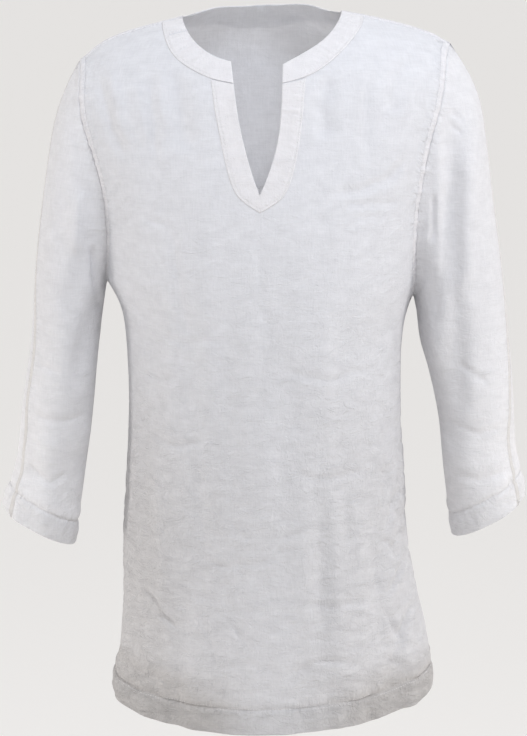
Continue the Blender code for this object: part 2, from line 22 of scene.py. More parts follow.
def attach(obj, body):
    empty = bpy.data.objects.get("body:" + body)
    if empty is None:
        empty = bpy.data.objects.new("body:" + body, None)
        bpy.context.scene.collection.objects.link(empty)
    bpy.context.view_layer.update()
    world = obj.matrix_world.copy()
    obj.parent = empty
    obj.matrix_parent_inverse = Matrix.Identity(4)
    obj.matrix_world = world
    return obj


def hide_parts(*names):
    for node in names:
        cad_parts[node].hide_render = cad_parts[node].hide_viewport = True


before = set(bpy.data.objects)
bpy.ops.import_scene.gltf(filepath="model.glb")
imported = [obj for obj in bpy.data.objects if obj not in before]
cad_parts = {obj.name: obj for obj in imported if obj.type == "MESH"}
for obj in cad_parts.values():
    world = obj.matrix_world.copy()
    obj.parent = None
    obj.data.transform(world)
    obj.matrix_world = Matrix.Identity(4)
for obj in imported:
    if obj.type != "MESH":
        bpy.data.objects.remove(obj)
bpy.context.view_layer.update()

# %% [markdown]
# ## Where the shirt is seen
# A long lens from 2.6 m keeps the hem and the shoulders at nearly the same scale, as in a catalogue
# picture. It looks down by ten degrees, so the inside of the back shows through the neck.

# %% Camera
CAMERA_PLACE = (0.00265, -2.60, 0.10)
CAMERA_TARGET = (0.00265, 0.0, -0.365)
LENS_MM = 122


def show(name, data):
    """A new object in the scene."""
    shown = bpy.data.objects.new(name, data)
    bpy.context.scene.collection.objects.link(shown)
    return shown


def aim(aimed, place, towards):
    """Puts a camera or a lamp in its place and points it."""
    aimed.location = place
    aimed.rotation_euler = (Vector(towards) - Vector(place)).to_track_quat("-Z", "Y").to_euler()


camera_data = bpy.data.cameras.new("front_camera")
camera_data.lens = LENS_MM
camera = show("front_camera", camera_data)
aim(camera, CAMERA_PLACE, CAMERA_TARGET)
bpy.context.scene.camera = camera
print("the camera stands at", CAMERA_PLACE)

# %% [markdown]
# White cloth shows its folds only where the light comes from one side more than from the other. A soft
# bluish lamp stands in front, above and to the left. Two lamps low at the sides bring out the sleeves and
# the hem, and a pale sky fills the shadows. A beam with a soft edge lights the chest and shines through the
# neck onto the inside of the back, and a weak lamp low in the body keeps that inside from going too grey.
# The floor lies well below the hem, so that no shadow of the shirt reaches up to it.

# %% Lights and sky
Light = namedtuple("Light", "name place towards size watts colour beam_degrees")
BODY_MIDDLE = (0.0, 0.0, -0.35)
WARM_LIGHT = (1.0, 0.96, 0.93)
LIGHTS = (
    Light("soft_high_light", (0.42, -0.85, 1.15), BODY_MIDDLE, 0.45, 12.5, (0.86, 0.91, 1.0), None),
    Light("side_light_right", (-1.8, -0.45, -0.75), BODY_MIDDLE, 0.5, 10.0, WARM_LIGHT, None),
    Light("side_light_left", (1.8, -0.70, -0.70), BODY_MIDDLE, 0.5, 10.0, WARM_LIGHT, None),
    Light("neck_light", (0.10, -2.30, 0.40), (0.0, 0.0, -0.05), 0.25, 31.0, (0.84, 0.905, 1.0), 24),
    Light("inner_light", (0.0, -0.03, -0.42), (0.0, 0.075, -0.015), 0.03, 3.6, (1.0, 0.985, 0.985), 44),
)
SKY_COLOUR = (0.99, 0.985, 0.985, 1.0)
SKY_STRENGTH = 0.83

for light in LIGHTS:
    lamp = bpy.data.lights.new(light.name, "SPOT" if light.beam_degrees else "AREA")
    lamp.energy = light.watts
    lamp.color = light.colour
    if light.beam_degrees:
        lamp.spot_size = math.radians(light.beam_degrees)
        lamp.spot_blend = 1.0
        lamp.shadow_soft_size = light.size
    else:
        lamp.shape = "DISK"
        lamp.size = light.size
    aim(show(light.name, lamp), light.place, light.towards)
    print(light.name, "gives", light.watts, "W")


def set_inputs(node, values):
    """Gives some of a node's inputs fixed values."""
    for entry, value in values.items():
        node.inputs[entry].default_value = value


sky = bpy.data.worlds.new("pale_sky")
sky.use_nodes = True
set_inputs(sky.node_tree.nodes["Background"], {"Color": SKY_COLOUR, "Strength": SKY_STRENGTH})
bpy.context.scene.world = sky
bpy.context.scene.view_settings.view_transform = "Standard"

# %% Floor
FLOOR_HEIGHT = -1.5
FLOOR_SIZE = 240.0
FLOOR_COLOUR = (0.95, 0.935, 0.915, 1.0)


def new_material(name):
    """A new material and its shader."""
    material = bpy.data.materials.new(name)
    material.use_nodes = True
    return material, material.node_tree.nodes["Principled BSDF"]


def mesh_of(bm, name):
    """A new mesh from a finished bmesh."""
    mesh = bpy.data.meshes.new(name)
    bm.to_mesh(mesh)
    bm.free()
    return mesh


floor_bm = bmesh.new()
bmesh.ops.create_grid(floor_bm, x_segments=1, y_segments=1, size=FLOOR_SIZE / 2)
bmesh.ops.translate(floor_bm, verts=floor_bm.verts, vec=(0, 0, FLOOR_HEIGHT))
floor_mesh = mesh_of(floor_bm, "floor")
floor_material, floor_shader = new_material("pale_floor")
set_inputs(floor_shader, {"Base Color": FLOOR_COLOUR, "Roughness": 0.9})
floor_mesh.materials.append(floor_material)
floor = show("floor", floor_mesh)
print("the floor lies at", FLOOR_HEIGHT)

# %% [markdown]
# ## From a wall to a sheet
# Each piece of the form is a closed wall: an outer side, an inner side and the rims between them. Cloth is
# easier to shape as one open sheet that gets its thickness last. The inner side is the cleaner of the two,
# because hems are thickened outwards, so it is cut out along the rims, where neighbouring faces meet at a
# steep angle, and turned to face out.

# %% Cut one open sheet out of a piece's wall
RIM_ANGLE = math.radians(50)
CORNER_ANGLE = math.radians(28)
ROW_FLOW = 1.6
WELD = 0.00001
FORM_WALL = 0.0012


def side_of_walls(bm):
    """The faces in groups that no rim divides, largest area first."""
    unseen = set(bm.faces)
    groups = []
    while unseen:
        start = unseen.pop()
        group = [start]
        waiting = [start]
        while waiting:
            for edge in waiting.pop().edges:
                if edge.calc_face_angle(math.pi) > RIM_ANGLE:
                    continue
                fresh = [face for face in edge.link_faces if face in unseen]
                unseen.difference_update(fresh)
                group.extend(fresh)
                waiting.extend(fresh)
        groups.append(group)
    return sorted(groups, key=lambda group: -sum(face.calc_area() for face in group))


def keep_corners(bm):
    """Marks the corners of the sheet's edge, such as the foot of the slit, so that rounding keeps them."""
    crease = bm.verts.layers.float.new("crease_vert")
    for vert in bm.verts:
        rims = [edge for edge in vert.link_edges if edge.is_boundary]
        if len(rims) == 2:
            towards = [edge.other_vert(vert).co - vert.co for edge in rims]
            if math.pi - towards[0].angle(towards[1]) > CORNER_ANGLE:
                vert[crease] = 1.0


def open_sheet(node, name, faces_front):
    """A new object with the inner side of a node as one open sheet of quads, which face out."""
    bm = bmesh.new()
    bm.from_mesh(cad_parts[node].data)
    bmesh.ops.remove_doubles(bm, verts=bm.verts, dist=WELD)
    walls = side_of_walls(bm)[:2]
    outward = -1.0 if faces_front else 1.0
    inner = min(walls, key=lambda group: outward * sum(face.normal.y * face.calc_area() for face in group))
    kept = set(inner)
    bmesh.ops.delete(bm, geom=[face for face in bm.faces if face not in kept], context="FACES")
    bmesh.ops.reverse_faces(bm, faces=bm.faces)
    bmesh.ops.join_triangles(
        bm,
        faces=bm.faces,
        angle_face_threshold=math.pi,
        angle_shape_threshold=math.pi,
        topology_influence=ROW_FLOW,
    )
    keep_corners(bm)
    mesh = mesh_of(bm, name)
    mesh.shade_smooth()
    sheet = show(name, mesh)
    quads = sum(len(polygon.vertices) == 4 for polygon in mesh.polygons)
    print(name, "has", quads, "quads and", len(mesh.polygons) - quads, "triangles")
    return sheet


# %% [markdown]
# The weave has to follow the cloth, so each sheet needs a flat map. Unwrapping is the exact counterpart of
# cutting: it lays the sheet flat again with as little stretch as it can. The map is then scaled to metres
# and turned so that its V axis runs up the garment, along the warp. The outline that it gives is close to
# the pattern piece that a cutter would lay on the linen.

# %% Lay a sheet flat
def lay_flat(sheet):
    """Unwraps the sheet and puts its map in metres, with V up the garment."""
    bpy.ops.object.select_all(action="DESELECT")
    bpy.context.view_layer.objects.active = sheet
    sheet.select_set(True)
    bpy.ops.object.mode_set(mode="EDIT")
    bpy.ops.mesh.select_all(action="SELECT")
    bpy.ops.uv.unwrap(method="ANGLE_BASED", margin=0.0)
    bpy.ops.object.mode_set(mode="OBJECT")
    sheet.select_set(False)
    mesh = sheet.data
    layer = mesh.uv_layers.active
    layer.name = "flat_cut"
    flat = np.empty(len(mesh.loops) * 2)
    layer.uv.foreach_get("vector", flat)
    flat = flat.reshape(-1, 2)
    flat_area = 0.0
    for polygon in mesh.polygons:
        corners = flat[list(polygon.loop_indices)]
        after = np.roll(corners, -1, axis=0)
        flat_area += abs((corners[:, 0] * after[:, 1] - corners[:, 1] * after[:, 0]).sum()) / 2
    real_area = sum(polygon.area for polygon in mesh.polygons)
    flat *= math.sqrt(real_area / flat_area)
    heights = np.array([mesh.vertices[loop.vertex_index].co.z for loop in mesh.loops])
    centred = flat - flat.mean(axis=0)
    up, _, _, _ = np.linalg.lstsq(centred, heights - heights.mean(), rcond=None)
    up /= np.linalg.norm(up)
    turned = np.column_stack((centred @ np.array((up[1], -up[0])), centred @ up))
    layer.uv.foreach_set("vector", turned.ravel())
    width, length = turned.max(axis=0) - turned.min(axis=0)
    print(f"{sheet.name} lies flat in {width:.3f} x {length:.3f} m, area {real_area:.4f} m2")


# %% Refine a sheet and keep the result as its own mesh
def settle(piece):
    """Makes what the modifiers show the piece's own mesh."""
    depsgraph = bpy.context.evaluated_depsgraph_get()
    made = bpy.data.meshes.new_from_object(piece.evaluated_get(depsgraph))
    coarse = piece.data
    piece.modifiers.clear()
    piece.data = made
    bpy.data.meshes.remove(coarse)


ROUNDING_LEVELS = 3


def refine(sheet):
    """Rounds off the facets of a sheet."""
    modifier = sheet.modifiers.new("rounded", "SUBSURF")
    modifier.levels = ROUNDING_LEVELS
    modifier.render_levels = ROUNDING_LEVELS
    modifier.boundary_smooth = "PRESERVE_CORNERS"
    settle(sheet)


# %% [markdown]
# Ten sheets are cut and refined: the two large panels and the sleeve halves to about 3 mm a face, which is
# fine enough for every fold that the eye reads as a fold, and the narrow bands to under 2 mm. What is finer
# than that is left to the material. The table also states each flat cut, its width and length and its area,
# as measured here and rounded. The curved back band is measured along its strip.

# %% The ten sheets
Cut = namedtuple("Cut", "name node faces_front flat area")
CUTS = (
    Cut("front_cloth", "front_panel", True, (0.480, 0.780), 0.305),
    Cut("back_cloth", "back_panel", False, (0.470, 0.790), 0.310),
    Cut("right_sleeve_front_cloth", "sleeve_right_front", True, (0.140, 0.520), 0.048),
    Cut("right_sleeve_back_cloth", "sleeve_right_back", False, (0.205, 0.515), 0.068),
    Cut("left_sleeve_front_cloth", "sleeve_left_front", True, (0.150, 0.530), 0.055),
    Cut("left_sleeve_back_cloth", "sleeve_left_back", False, (0.210, 0.530), 0.070),
    Cut("right_band_cloth", "neck_band_right", True, (0.070, 0.125), 0.0033),
    Cut("left_band_cloth", "neck_band_left", True, (0.070, 0.135), 0.0035),
    Cut("back_band_cloth", "neck_band_back", False, (0.030, 0.290), 0.0087),
    Cut("slit_facing_cloth", "slit_facing", True, (0.096, 0.136), 0.0058),
)
PANELS = tuple(cut.name for cut in CUTS[:2])
SLEEVES = tuple(cut.name for cut in CUTS[2:6])
STRIPS = tuple(cut.name for cut in CUTS[6:])

sheets = {}
for cut in CUTS:
    sheet = open_sheet(cut.node, cut.name, cut.faces_front)
    lay_flat(sheet)
    refine(sheet)
    sheets[cut.name] = sheet

# %% [markdown]
# The back of the neck is one flat arc, in the cloth as in its band. Refining leaves a small notch at its
# middle, where the rows of faces from both sides meet. Moving a few points into line is simpler than making
# the wall anew, and it keeps the map. The edge is also lifted a little on either side of the middle.

# %% Ease the back of the neck
BACK_NECK_RISE = 0.0042
RISE_AT = 0.052
RISE_WIDTH = 0.024
RISE_REACH = 0.030
EVEN_HALF = 0.014
EVEN_ARC = 0.0006
EVEN_ROUNDS = 8


def even_out_centre(bm):
    """Lays the middle of the neck edge in one fair arc, and evens out the cloth below it."""
    middle = [vert for vert in bm.verts if abs(vert.co.x) < EVEN_HALF and vert.co.z > 0.0]
    edge = sorted((vert for vert in middle if vert.is_boundary), key=lambda vert: vert.co.x)
    first, last = edge[0].co.copy(), edge[-1].co.copy()
    for vert in edge:
        share = (vert.co.x - first.x) / (last.x - first.x)
        fair = first.lerp(last, share)
        vert.co.y = fair.y
        vert.co.z = fair.z + EVEN_ARC * 4 * share * (1 - share)
    inner = [vert for vert in middle if not vert.is_boundary]
    axes = {"use_axis_x": True, "use_axis_y": True, "use_axis_z": True}
    for _ in range(EVEN_ROUNDS):
        bmesh.ops.smooth_vert(bm, verts=inner, factor=0.5, **axes)


for name in ("back_cloth", "back_band_cloth"):
    bm = bmesh.new()
    bm.from_mesh(sheets[name].data)
    even_out_centre(bm)
    for vert in bm.verts:
        near_edge = min(max((vert.co.z + RISE_REACH) / RISE_REACH, 0.0), 1.0)
        from_rise = (abs(vert.co.x) - RISE_AT) / RISE_WIDTH
        vert.co.z += near_edge * BACK_NECK_RISE * math.exp(-(from_rise**2))
    bm.to_mesh(sheets[name].data)
    bm.free()
    print(f"{name} follows the neck in a flat arc")

# %% [markdown]
# ## Edges and seams
# Each sheet is one disc of cloth with a single edge running round it. A stretch of that edge is a seam
# where another sheet's edge is close by, and a free edge elsewhere. Finding these stretches once gives the
# lines that the seams, the hems and the stitches follow.

# %% Find the stretches of a sheet's edge
SEAM_REACH = 0.003


def edge_loop(sheet):
    """The vertices of the sheet's edge in order, once round."""
    mesh = sheet.data
    uses = {}
    for polygon in mesh.polygons:
        for key in polygon.edge_keys:
            uses[key] = uses.get(key, 0) + 1
    beside = {}
    for (a, b), count in uses.items():
        if count == 1:
            beside.setdefault(a, []).append(b)
            beside.setdefault(b, []).append(a)
    start = next(iter(beside))
    loop = [start, beside[start][0]]
    while True:
        before, here = loop[-2], loop[-1]
        ahead = beside[here][0] if beside[here][1] == before else beside[here][1]
        if ahead == start:
            return loop
        loop.append(ahead)


def tree_of(points):
    """A search tree over some points."""
    tree = KDTree(len(points))
    for index, point in enumerate(points):
        tree.insert(point, index)
    tree.balance()
    return tree


loops = {name: edge_loop(sheet) for name, sheet in sheets.items()}
edge_trees = {}
for name, loop in loops.items():
    edge_trees[name] = tree_of([sheets[name].data.vertices[index].co for index in loop])


def stretches(name, chosen):
    """The unbroken stretches of a sheet's edge whose points pass the test, longest first."""
    loop = loops[name]
    passes = [chosen(sheets[name].data.vertices[index].co) for index in loop]
    if all(passes):
        return [loop]
    first = passes.index(False)
    found = []
    run = []
    for index, good in zip(loop[first:] + loop[:first], passes[first:] + passes[:first]):
        if good:
            run.append(index)
        elif run:
            found.append(run)
            run = []
    if run:
        found.append(run)
    return sorted(found, key=len, reverse=True)


def near(other):
    """A test for points that lie close to another sheet's edge."""
    return lambda point: edge_trees[other].find(point)[2] < SEAM_REACH


def seam_line(name, other):
    """The longest stretch where one sheet meets another."""
    return stretches(name, near(other))[0]


HEM_BELOW = -0.69
CUFF_BELOW = -0.49
SHOULDERS_ABOVE = -0.1


def free_edge(name, other, below):
    """The longest stretch of a sheet's edge that lies below a height and joins nothing."""
    return stretches(name, lambda point: point.z < below and not near(other)(point))[0]


def middle_of(name, run):
    """The place of the middle vertex of a stretch."""
    return sheets[name].data.vertices[run[len(run) // 2]].co


lines = {
    "hem_front": ("front_cloth", free_edge("front_cloth", "back_cloth", HEM_BELOW)),
    "hem_back": ("back_cloth", free_edge("back_cloth", "front_cloth", HEM_BELOW)),
}
for run in stretches("front_cloth", near("back_cloth"))[:4]:
    middle = middle_of("front_cloth", run)
    kind = "shoulder" if middle.z > SHOULDERS_ABOVE else "side_seam"
    lines[f"{kind}_{'left' if middle.x > 0 else 'right'}"] = ("front_cloth", run)
for side in ("right", "left"):
    front, back = f"{side}_sleeve_front_cloth", f"{side}_sleeve_back_cloth"
    for own, other, face in ((front, back, "front"), (back, front, "back")):
        lines[f"cuff_{side}_{face}"] = (own, free_edge(own, other, CUFF_BELOW))
        lines[f"armhole_{side}_{face}"] = (f"{face}_cloth", seam_line(f"{face}_cloth", own))
    meeting = sorted(stretches(back, near(front))[:2], key=lambda run: abs(middle_of(back, run).x))
    lines[f"under_sleeve_{side}"] = (back, meeting[0])
    lines[f"outer_sleeve_{side}"] = (back, meeting[1])
for name, (sheet_name, run) in lines.items():
    low = min(sheets[sheet_name].data.vertices[index].co.z for index in run)
    print(name, "has", len(run), "points and reaches down to", round(low, 3))

# %% [markdown]
# ## Noise
# Noise on a lattice of fixed random numbers gives the same linen on every run. Squeezing its cells in one
# direction gives wrinkles that run the other way, and folding it at zero turns round bumps into sharp
# creases.

# %% Noise for everything that isn't drawn
LATTICE_CELLS = 32
CREASE_SHARPNESS = 2.2
lattice = np.random.default_rng(11).uniform(-1.0, 1.0, (LATTICE_CELLS,) * 3)


def noise_at(points, cell, start=0.0):
    """Smooth noise from -1 to 1, with cells of the given three sizes in metres."""
    place = points / np.array(cell) + start
    corner = np.floor(place).astype(int)
    share = place - corner
    share = share * share * (3 - 2 * share)
    total = np.zeros(len(points))
    for step in product((0, 1), repeat=3):
        weight = np.prod(np.where(np.array(step) == 1, share, 1 - share), axis=1)
        i, j, k = ((corner + step) % LATTICE_CELLS).T
        total += weight * lattice[i, j, k]
    return total


def creased_noise(points, cell, start=0.0):
    """Noise that is sharp along lines: 1 on a crease, falling to 0 between creases."""
    return np.maximum(1 - CREASE_SHARPNESS * np.abs(noise_at(points, cell, start)), 0.0) ** 2


# %% [markdown]
# ## Crumpled linen
# Linen creases sharply and stays creased. On this shirt three kinds lie over each other: a few long soft
# drapes where the cloth hangs from the shoulders, dozens of short wrinkles, most of them level, and a fine
# crinkle all over. The long ones and the largest wrinkles are drawn as lines seen from the front or the
# back, since that is where they tell the shirt from any other. Noise can then fill in the rest.

# %% Drawn creases
FRONT, BACK = -1, 1
Crease = namedtuple("Crease", "face path width depth lip")

# In millimetres: the points of the path, each across and up, and then the width and the depth. The last
# number says how much the cloth stands up beside the crease.
FRONT_CREASES = (
    # Drapes from the neck band and the shoulders
    (((-90, -43), (-79, -83), (-74, -132)), 13.0, 2.2, 0.3),
    (((-104, -36), (-96, -92), (-91, -150)), 10.0, -1.4, 0.0),
    (((-112, -40), (-108, -95), (-104, -140)), 6.0, 1.2, 0.0),
    (((70, -49), (60, -80), (64, -118)), 11.0, 2.2, 0.2),
    (((145, -36), (138, -60), (130, -92)), 10.0, 1.4, 0.2),
    (((-155, -40), (-142, -85), (-129, -128)), 6.0, -1.2, 0.0),
    (((-168, -52), (-152, -98), (-136, -140)), 6.5, 1.6, 0.3),
    (((-130, -56), (-121, -88), (-113, -124)), 6.0, -1.0, 0.0),
    (((110, -45), (104, -90), (108, -140)), 7.0, 0.9, 0.3),
    # Across the bust and round the armholes
    (((66, -166), (98, -167), (124, -158), (148, -130)), 6.0, 1.6, 0.6),
    (((79, -176), (110, -182), (143, -180)), 5.0, 1.1, 0.6),
    (((90, -192), (126, -196)), 4.0, 0.7, 0.5),
    (((-158, -186), (-140, -157)), 3.2, 0.9, 0.6),
    (((-157, -197), (-130, -176)), 3.4, 1.0, 0.6),
    (((-159, -176), (-147, -149)), 3.0, 0.8, 0.6),
    (((-158, -208), (-128, -194)), 3.4, 0.8, 0.6),
    (((-181, -114), (-169, -121)), 2.4, 0.9, 0.5),
    (((-180, -123), (-168, -130)), 2.4, 0.9, 0.5),
    (((-177, -133), (-166, -141)), 2.4, 0.6, 0.5),
    (((176, -118), (164, -126)), 2.6, 0.7, 0.5),
    (((172, -142), (160, -150)), 2.6, 0.7, 0.5),
    (((-120, -196), (-94, -199)), 4.0, 0.8, 0.5),
    # The pressed line below the slit and the soft upright streaks of the body
    (((0, -188), (-3, -235), (4, -285), (10, -325)), 4.0, 0.8, 0.4),
    (((-93, -194), (-84, -255), (-77, -321)), 7.0, 1.1, 0.4),
    (((-40, -437), (-36, -500), (-30, -574)), 7.0, -1.2, 0.3),
    (((-64, -430), (-58, -520), (-60, -600)), 8.0, 1.3, 0.2),
    (((81, -399), (88, -470), (94, -546)), 9.0, 1.2, 0.2),
    (((32, -330), (36, -420)), 8.0, 0.8, 0.2),
    (((-108, -440), (-101, -560), (-104, -640)), 7.0, -1.1, 0.2),
    # Level wrinkles, sharper towards the hem
    (((-124, -583), (-105, -602), (-84, -626)), 3.6, 1.7, 0.7),
    (((-116, -600), (-98, -615)), 3.0, 0.9, 0.6),
    (((-22, -521), (-8, -517)), 2.6, 1.0, 0.6),
    (((18, -522), (42, -516)), 2.8, 1.1, 0.6),
    (((-123, -357), (-100, -360), (-80, -356)), 3.0, 0.9, 0.6),
    (((-115, -417), (-83, -426), (-47, -418)), 4.0, 1.0, 0.6),
    (((30, -448), (71, -461), (115, -455)), 4.2, 1.0, 0.6),
    (((-62, -544), (-21, -550), (25, -542)), 4.0, 1.0, 0.6),
    (((40, -584), (81, -594), (118, -590)), 4.0, 1.1, 0.6),
    (((-114, -311), (-72, -321), (-31, -312)), 4.0, 0.8, 0.6),
    (((19, -347), (70, -358), (122, -350)), 4.0, 0.9, 0.6),
    (((-50, -660), (-10, -652), (25, -658)), 4.0, 0.7, 0.5),
    (((20, -668), (60, -650), (100, -655)), 5.0, 1.3, 0.5),
    (((-60, -600), (-49, -640), (-40, -672)), 3.4, 0.9, 0.6),
    (((-28, -608), (-20, -630)), 3.0, 1.3, 0.6),
    # The crumpled strip beside the left side seam
    (((124, -455), (133, -475), (141, -498)), 4.0, 1.7, 0.7),
    (((150, -478), (140, -500), (132, -527)), 4.0, 1.9, 0.7),
    (((122, -531), (136, -540), (148, -562)), 4.0, 1.8, 0.7),
    (((153, -560), (141, -575), (132, -598)), 4.2, 1.9, 0.7),
    (((124, -603), (138, -618), (149, -644)), 4.2, 1.8, 0.7),
    (((164, -602), (150, -628), (141, -655)), 4.0, 1.9, 0.7),
    (((118, -565), (126, -590)), 3.4, 1.2, 0.6),
    (((160, -650), (172, -672)), 3.4, 1.4, 0.6),
    (((130, -655), (158, -676)), 3.6, 1.3, 0.6),
    # Sleeves from the front
    (((198, -70), (195, -177), (186, -262), (174, -345)), 12.0, 3.0, 0.3),
    (((184, -103), (180, -184), (172, -260)), 7.0, -1.4, 0.0),
    (((176, -172), (178, -226)), 4.2, 2.0, 0.4),
    (((213, -115), (214, -200), (208, -300)), 8.0, -1.6, 0.0),
    (((193, -90), (206, -98)), 3.0, 1.2, 0.6),
    (((192, -101), (208, -111)), 3.0, 1.3, 0.6),
    (((-184, -168), (-190, -205), (-189, -240)), 6.5, -2.2, 0.0),
    (((-173, -225), (-172, -256), (-168, -284), (-169, -308)), 5.0, 2.8, 0.3),
    (((-200, -120), (-206, -200), (-208, -260)), 8.0, 1.0, 0.2),
    (((-243, -406), (-210, -413), (-181, -407)), 5.0, 0.9, 0.5),
    (((-246, -462), (-222, -478), (-200, -470)), 5.0, 1.4, 0.5),
    (((-238, -432), (-206, -440)), 6.0, -0.6, 0.3),
    (((-232, -352), (-206, -362)), 5.0, 1.0, 0.5),
    (((197, -414), (229, -425), (257, -418)), 5.0, 0.9, 0.5),
    (((198, -468), (229, -475), (266, -463)), 5.0, 1.1, 0.5),
    (((205, -350), (236, -372)), 5.0, 1.0, 0.5),
)
BACK_CREASES = (
    # The back hangs from the shoulder blades, with wrinkles like those of the front
    (((-140, -70), (-126, -130), (-118, -190)), 10.0, 2.0, 0.2),
    (((142, -66), (130, -120), (122, -184)), 10.0, 1.8, 0.2),
    (((-60, -40), (-54, -100), (-58, -160)), 11.0, 1.6, 0.2),
    (((52, -34), (47, -90), (50, -150)), 10.0, 1.4, 0.2),
    (((-158, -200), (-120, -212), (-82, -206)), 5.0, 1.3, 0.6),
    (((156, -212), (118, -226), (84, -218)), 5.0, 1.3, 0.6),
    (((-70, -300), (-62, -400), (-50, -520)), 10.0, 2.2, 0.3),
    (((64, -290), (70, -420), (78, -560)), 10.0, 2.2, 0.3),
    (((4, -340), (10, -480), (12, -600)), 8.0, -1.4, 0.2),
    (((-110, -350), (-60, -364), (-10, -352)), 4.5, 1.2, 0.6),
    (((20, -380), (70, -392), (118, -376)), 4.5, 1.2, 0.6),
    (((-125, -460), (-80, -474), (-30, -466)), 4.5, 1.2, 0.6),
    (((10, -490), (60, -506), (126, -494)), 4.5, 1.3, 0.6),
    (((-120, -560), (-70, -574), (-20, -562)), 4.5, 1.3, 0.6),
    (((30, -600), (80, -612), (130, -598)), 4.5, 1.4, 0.6),
    (((-110, -630), (-60, -644), (0, -636)), 5.0, 1.4, 0.6),
    (((136, -540), (150, -565), (142, -596)), 4.5, 1.6, 0.6),
    (((-138, -600), (-128, -630), (-136, -655)), 4.5, 1.5, 0.6),
    (((205, -110), (204, -190), (196, -280)), 8.5, 3.4, 0.3),
    (((-198, -120), (-198, -200), (-190, -290)), 8.5, 3.4, 0.3),
    (((200, -398), (232, -410), (258, -402)), 5.0, 1.7, 0.5),
    (((204, -450), (236, -462), (266, -452)), 5.0, 1.8, 0.5),
    (((-246, -394), (-216, -404), (-184, -396)), 5.0, 1.7, 0.5),
    (((-250, -448), (-222, -460), (-194, -450)), 5.0, 1.8, 0.5),
)
CREASE_GAIN = 1.7


def in_metres(face, drawn):
    """A crease with its drawn millimetres as metres."""
    path, width, depth, lip = drawn
    return Crease(face, np.array(path) / 1000, width / 1000, depth / 1000, lip)


CREASES = [in_metres(FRONT, drawn) for drawn in FRONT_CREASES]
CREASES += [in_metres(BACK, drawn) for drawn in BACK_CREASES]
print(len(CREASES), "creases are drawn")


def smooth_step(low, high, value):
    """Rises softly from 0 at low to 1 at high."""
    share = np.clip((value - low) / (high - low), 0.0, 1.0)
    return share * share * (3 - 2 * share)


def hump(values, middle, width):
    """1 at the middle, falling softly to 0 on both sides."""
    return np.exp(-(((values - middle) / width) ** 2))


def from_crease(path, seen):
    """How far each point lies from a line seen from the front, and its share of the way along."""
    lengths = np.linalg.norm(np.diff(path, axis=0), axis=1)
    starts = np.concatenate(((0.0,), np.cumsum(lengths)))
    away = np.full(len(seen), np.inf)
    along = np.zeros(len(seen))
    for index, length in enumerate(lengths):
        step = (path[index + 1] - path[index]) / length
        offset = seen - path[index]
        reach = np.clip(offset @ step, 0.0, length)
        distance = np.linalg.norm(offset - reach[:, None] * step, axis=1)
        closer = distance < away
        away[closer] = distance[closer]
        along[closer] = (starts[index] + reach[closer]) / starts[-1]
    return away, along


STRAY = 0.0028
STRAY_CELL = (0.022, 0.022, 0.022)
END_FADE = 0.22


def drawn_relief(points, normals):
    """The height that the drawn creases give each point, in metres outwards."""
    height = np.zeros(len(points))
    strays = [noise_at(points, STRAY_CELL, start) for start in (12.4, 15.8)]
    seen = points[:, (0, 2)] + STRAY * np.column_stack(strays)
    for crease in CREASES:
        faces_it = smooth_step(0.15, 0.60, normals[:, 1] * crease.face)
        away, along = from_crease(crease.path, seen)
        share = away / crease.width
        fades = smooth_step(0.0, END_FADE, along) * smooth_step(0.0, END_FADE, 1 - along)
        depth = CREASE_GAIN * crease.depth * faces_it * fades
        height -= depth * (1 - crease.lip * share**2) * np.exp(-(share**2))
    return height


# %% Wrinkles that nobody drew
SLACK = 0.0013
UPRIGHT_FOLDS = 0.0042
LEVEL_WRINKLES = 0.00100
FINE_WRINKLES = 0.00055
SIDE_CRUMPLE = 0.0022
WARP = 0.006


def crumple_relief(points):
    """The height of the wrinkles that nobody drew, in metres outwards, most of them low on the shirt."""
    across, level = points[:, 0], points[:, 2]
    warped = points + WARP * noise_at(points, (0.030, 0.030, 0.030), 5.3)[:, None]
    strength = 0.65 + 0.5 * noise_at(points, (0.09, 0.09, 0.07), 9.1)
    low = smooth_step(-0.20, -0.50, level)
    at_side = hump(across, 0.142, 0.022) * smooth_step(-0.42, -0.50, level)
    height = SLACK * noise_at(points, (0.070, 0.070, 0.110), 2.2)
    height += UPRIGHT_FOLDS * (0.12 + 0.88 * low) * noise_at(points, (0.019, 0.026, 0.120), 7.7)
    level_ones = creased_noise(warped, (0.040, 0.040, 0.013), 1.3)
    height -= LEVEL_WRINKLES * strength * (0.15 + 0.85 * low) * level_ones
    fine_ones = creased_noise(warped, (0.022, 0.026, 0.0085), 4.4)
    height -= FINE_WRINKLES * strength * (0.20 + 0.80 * low) * fine_ones
    height -= SIDE_CRUMPLE * at_side * creased_noise(warped, (0.020, 0.030, 0.024), 6.1)
    return height


# %% [markdown]
# Where two pieces are sewn together the thread draws the cloth in, so short puckers stand across an
# armhole. A hem is three layers deep. Its stitch line sinks in, and the single cloth above it slumps over
# it in a soft roll.

# %% Puckers and hems
PUCKER_SPACING = 0.0085
PUCKER_DEPTH = 0.0009
PUCKER_REACH = 0.011
HEM_DEPTH = 0.026
CUFF_DEPTH = 0.025
HEM_LAYERS = 0.0008
HEM_ROLL = 0.0022
HEM_SUNK = 0.0018
HEM_PUCKERS = 0.0006
HEM_BULGE = 0.0009
HEM_CRUMPLE = 0.0013
HEM_SLUMP = 0.0040
HEM_REACH = 0.075
SLUMP_REACH = 0.04
LINE_SHIFT = 0.37


def line_points(name):
    """The points of a seam, a hem or another stretch of an edge."""
    sheet_name, run = lines[name]
    return [sheets[sheet_name].data.vertices[index].co.copy() for index in run]


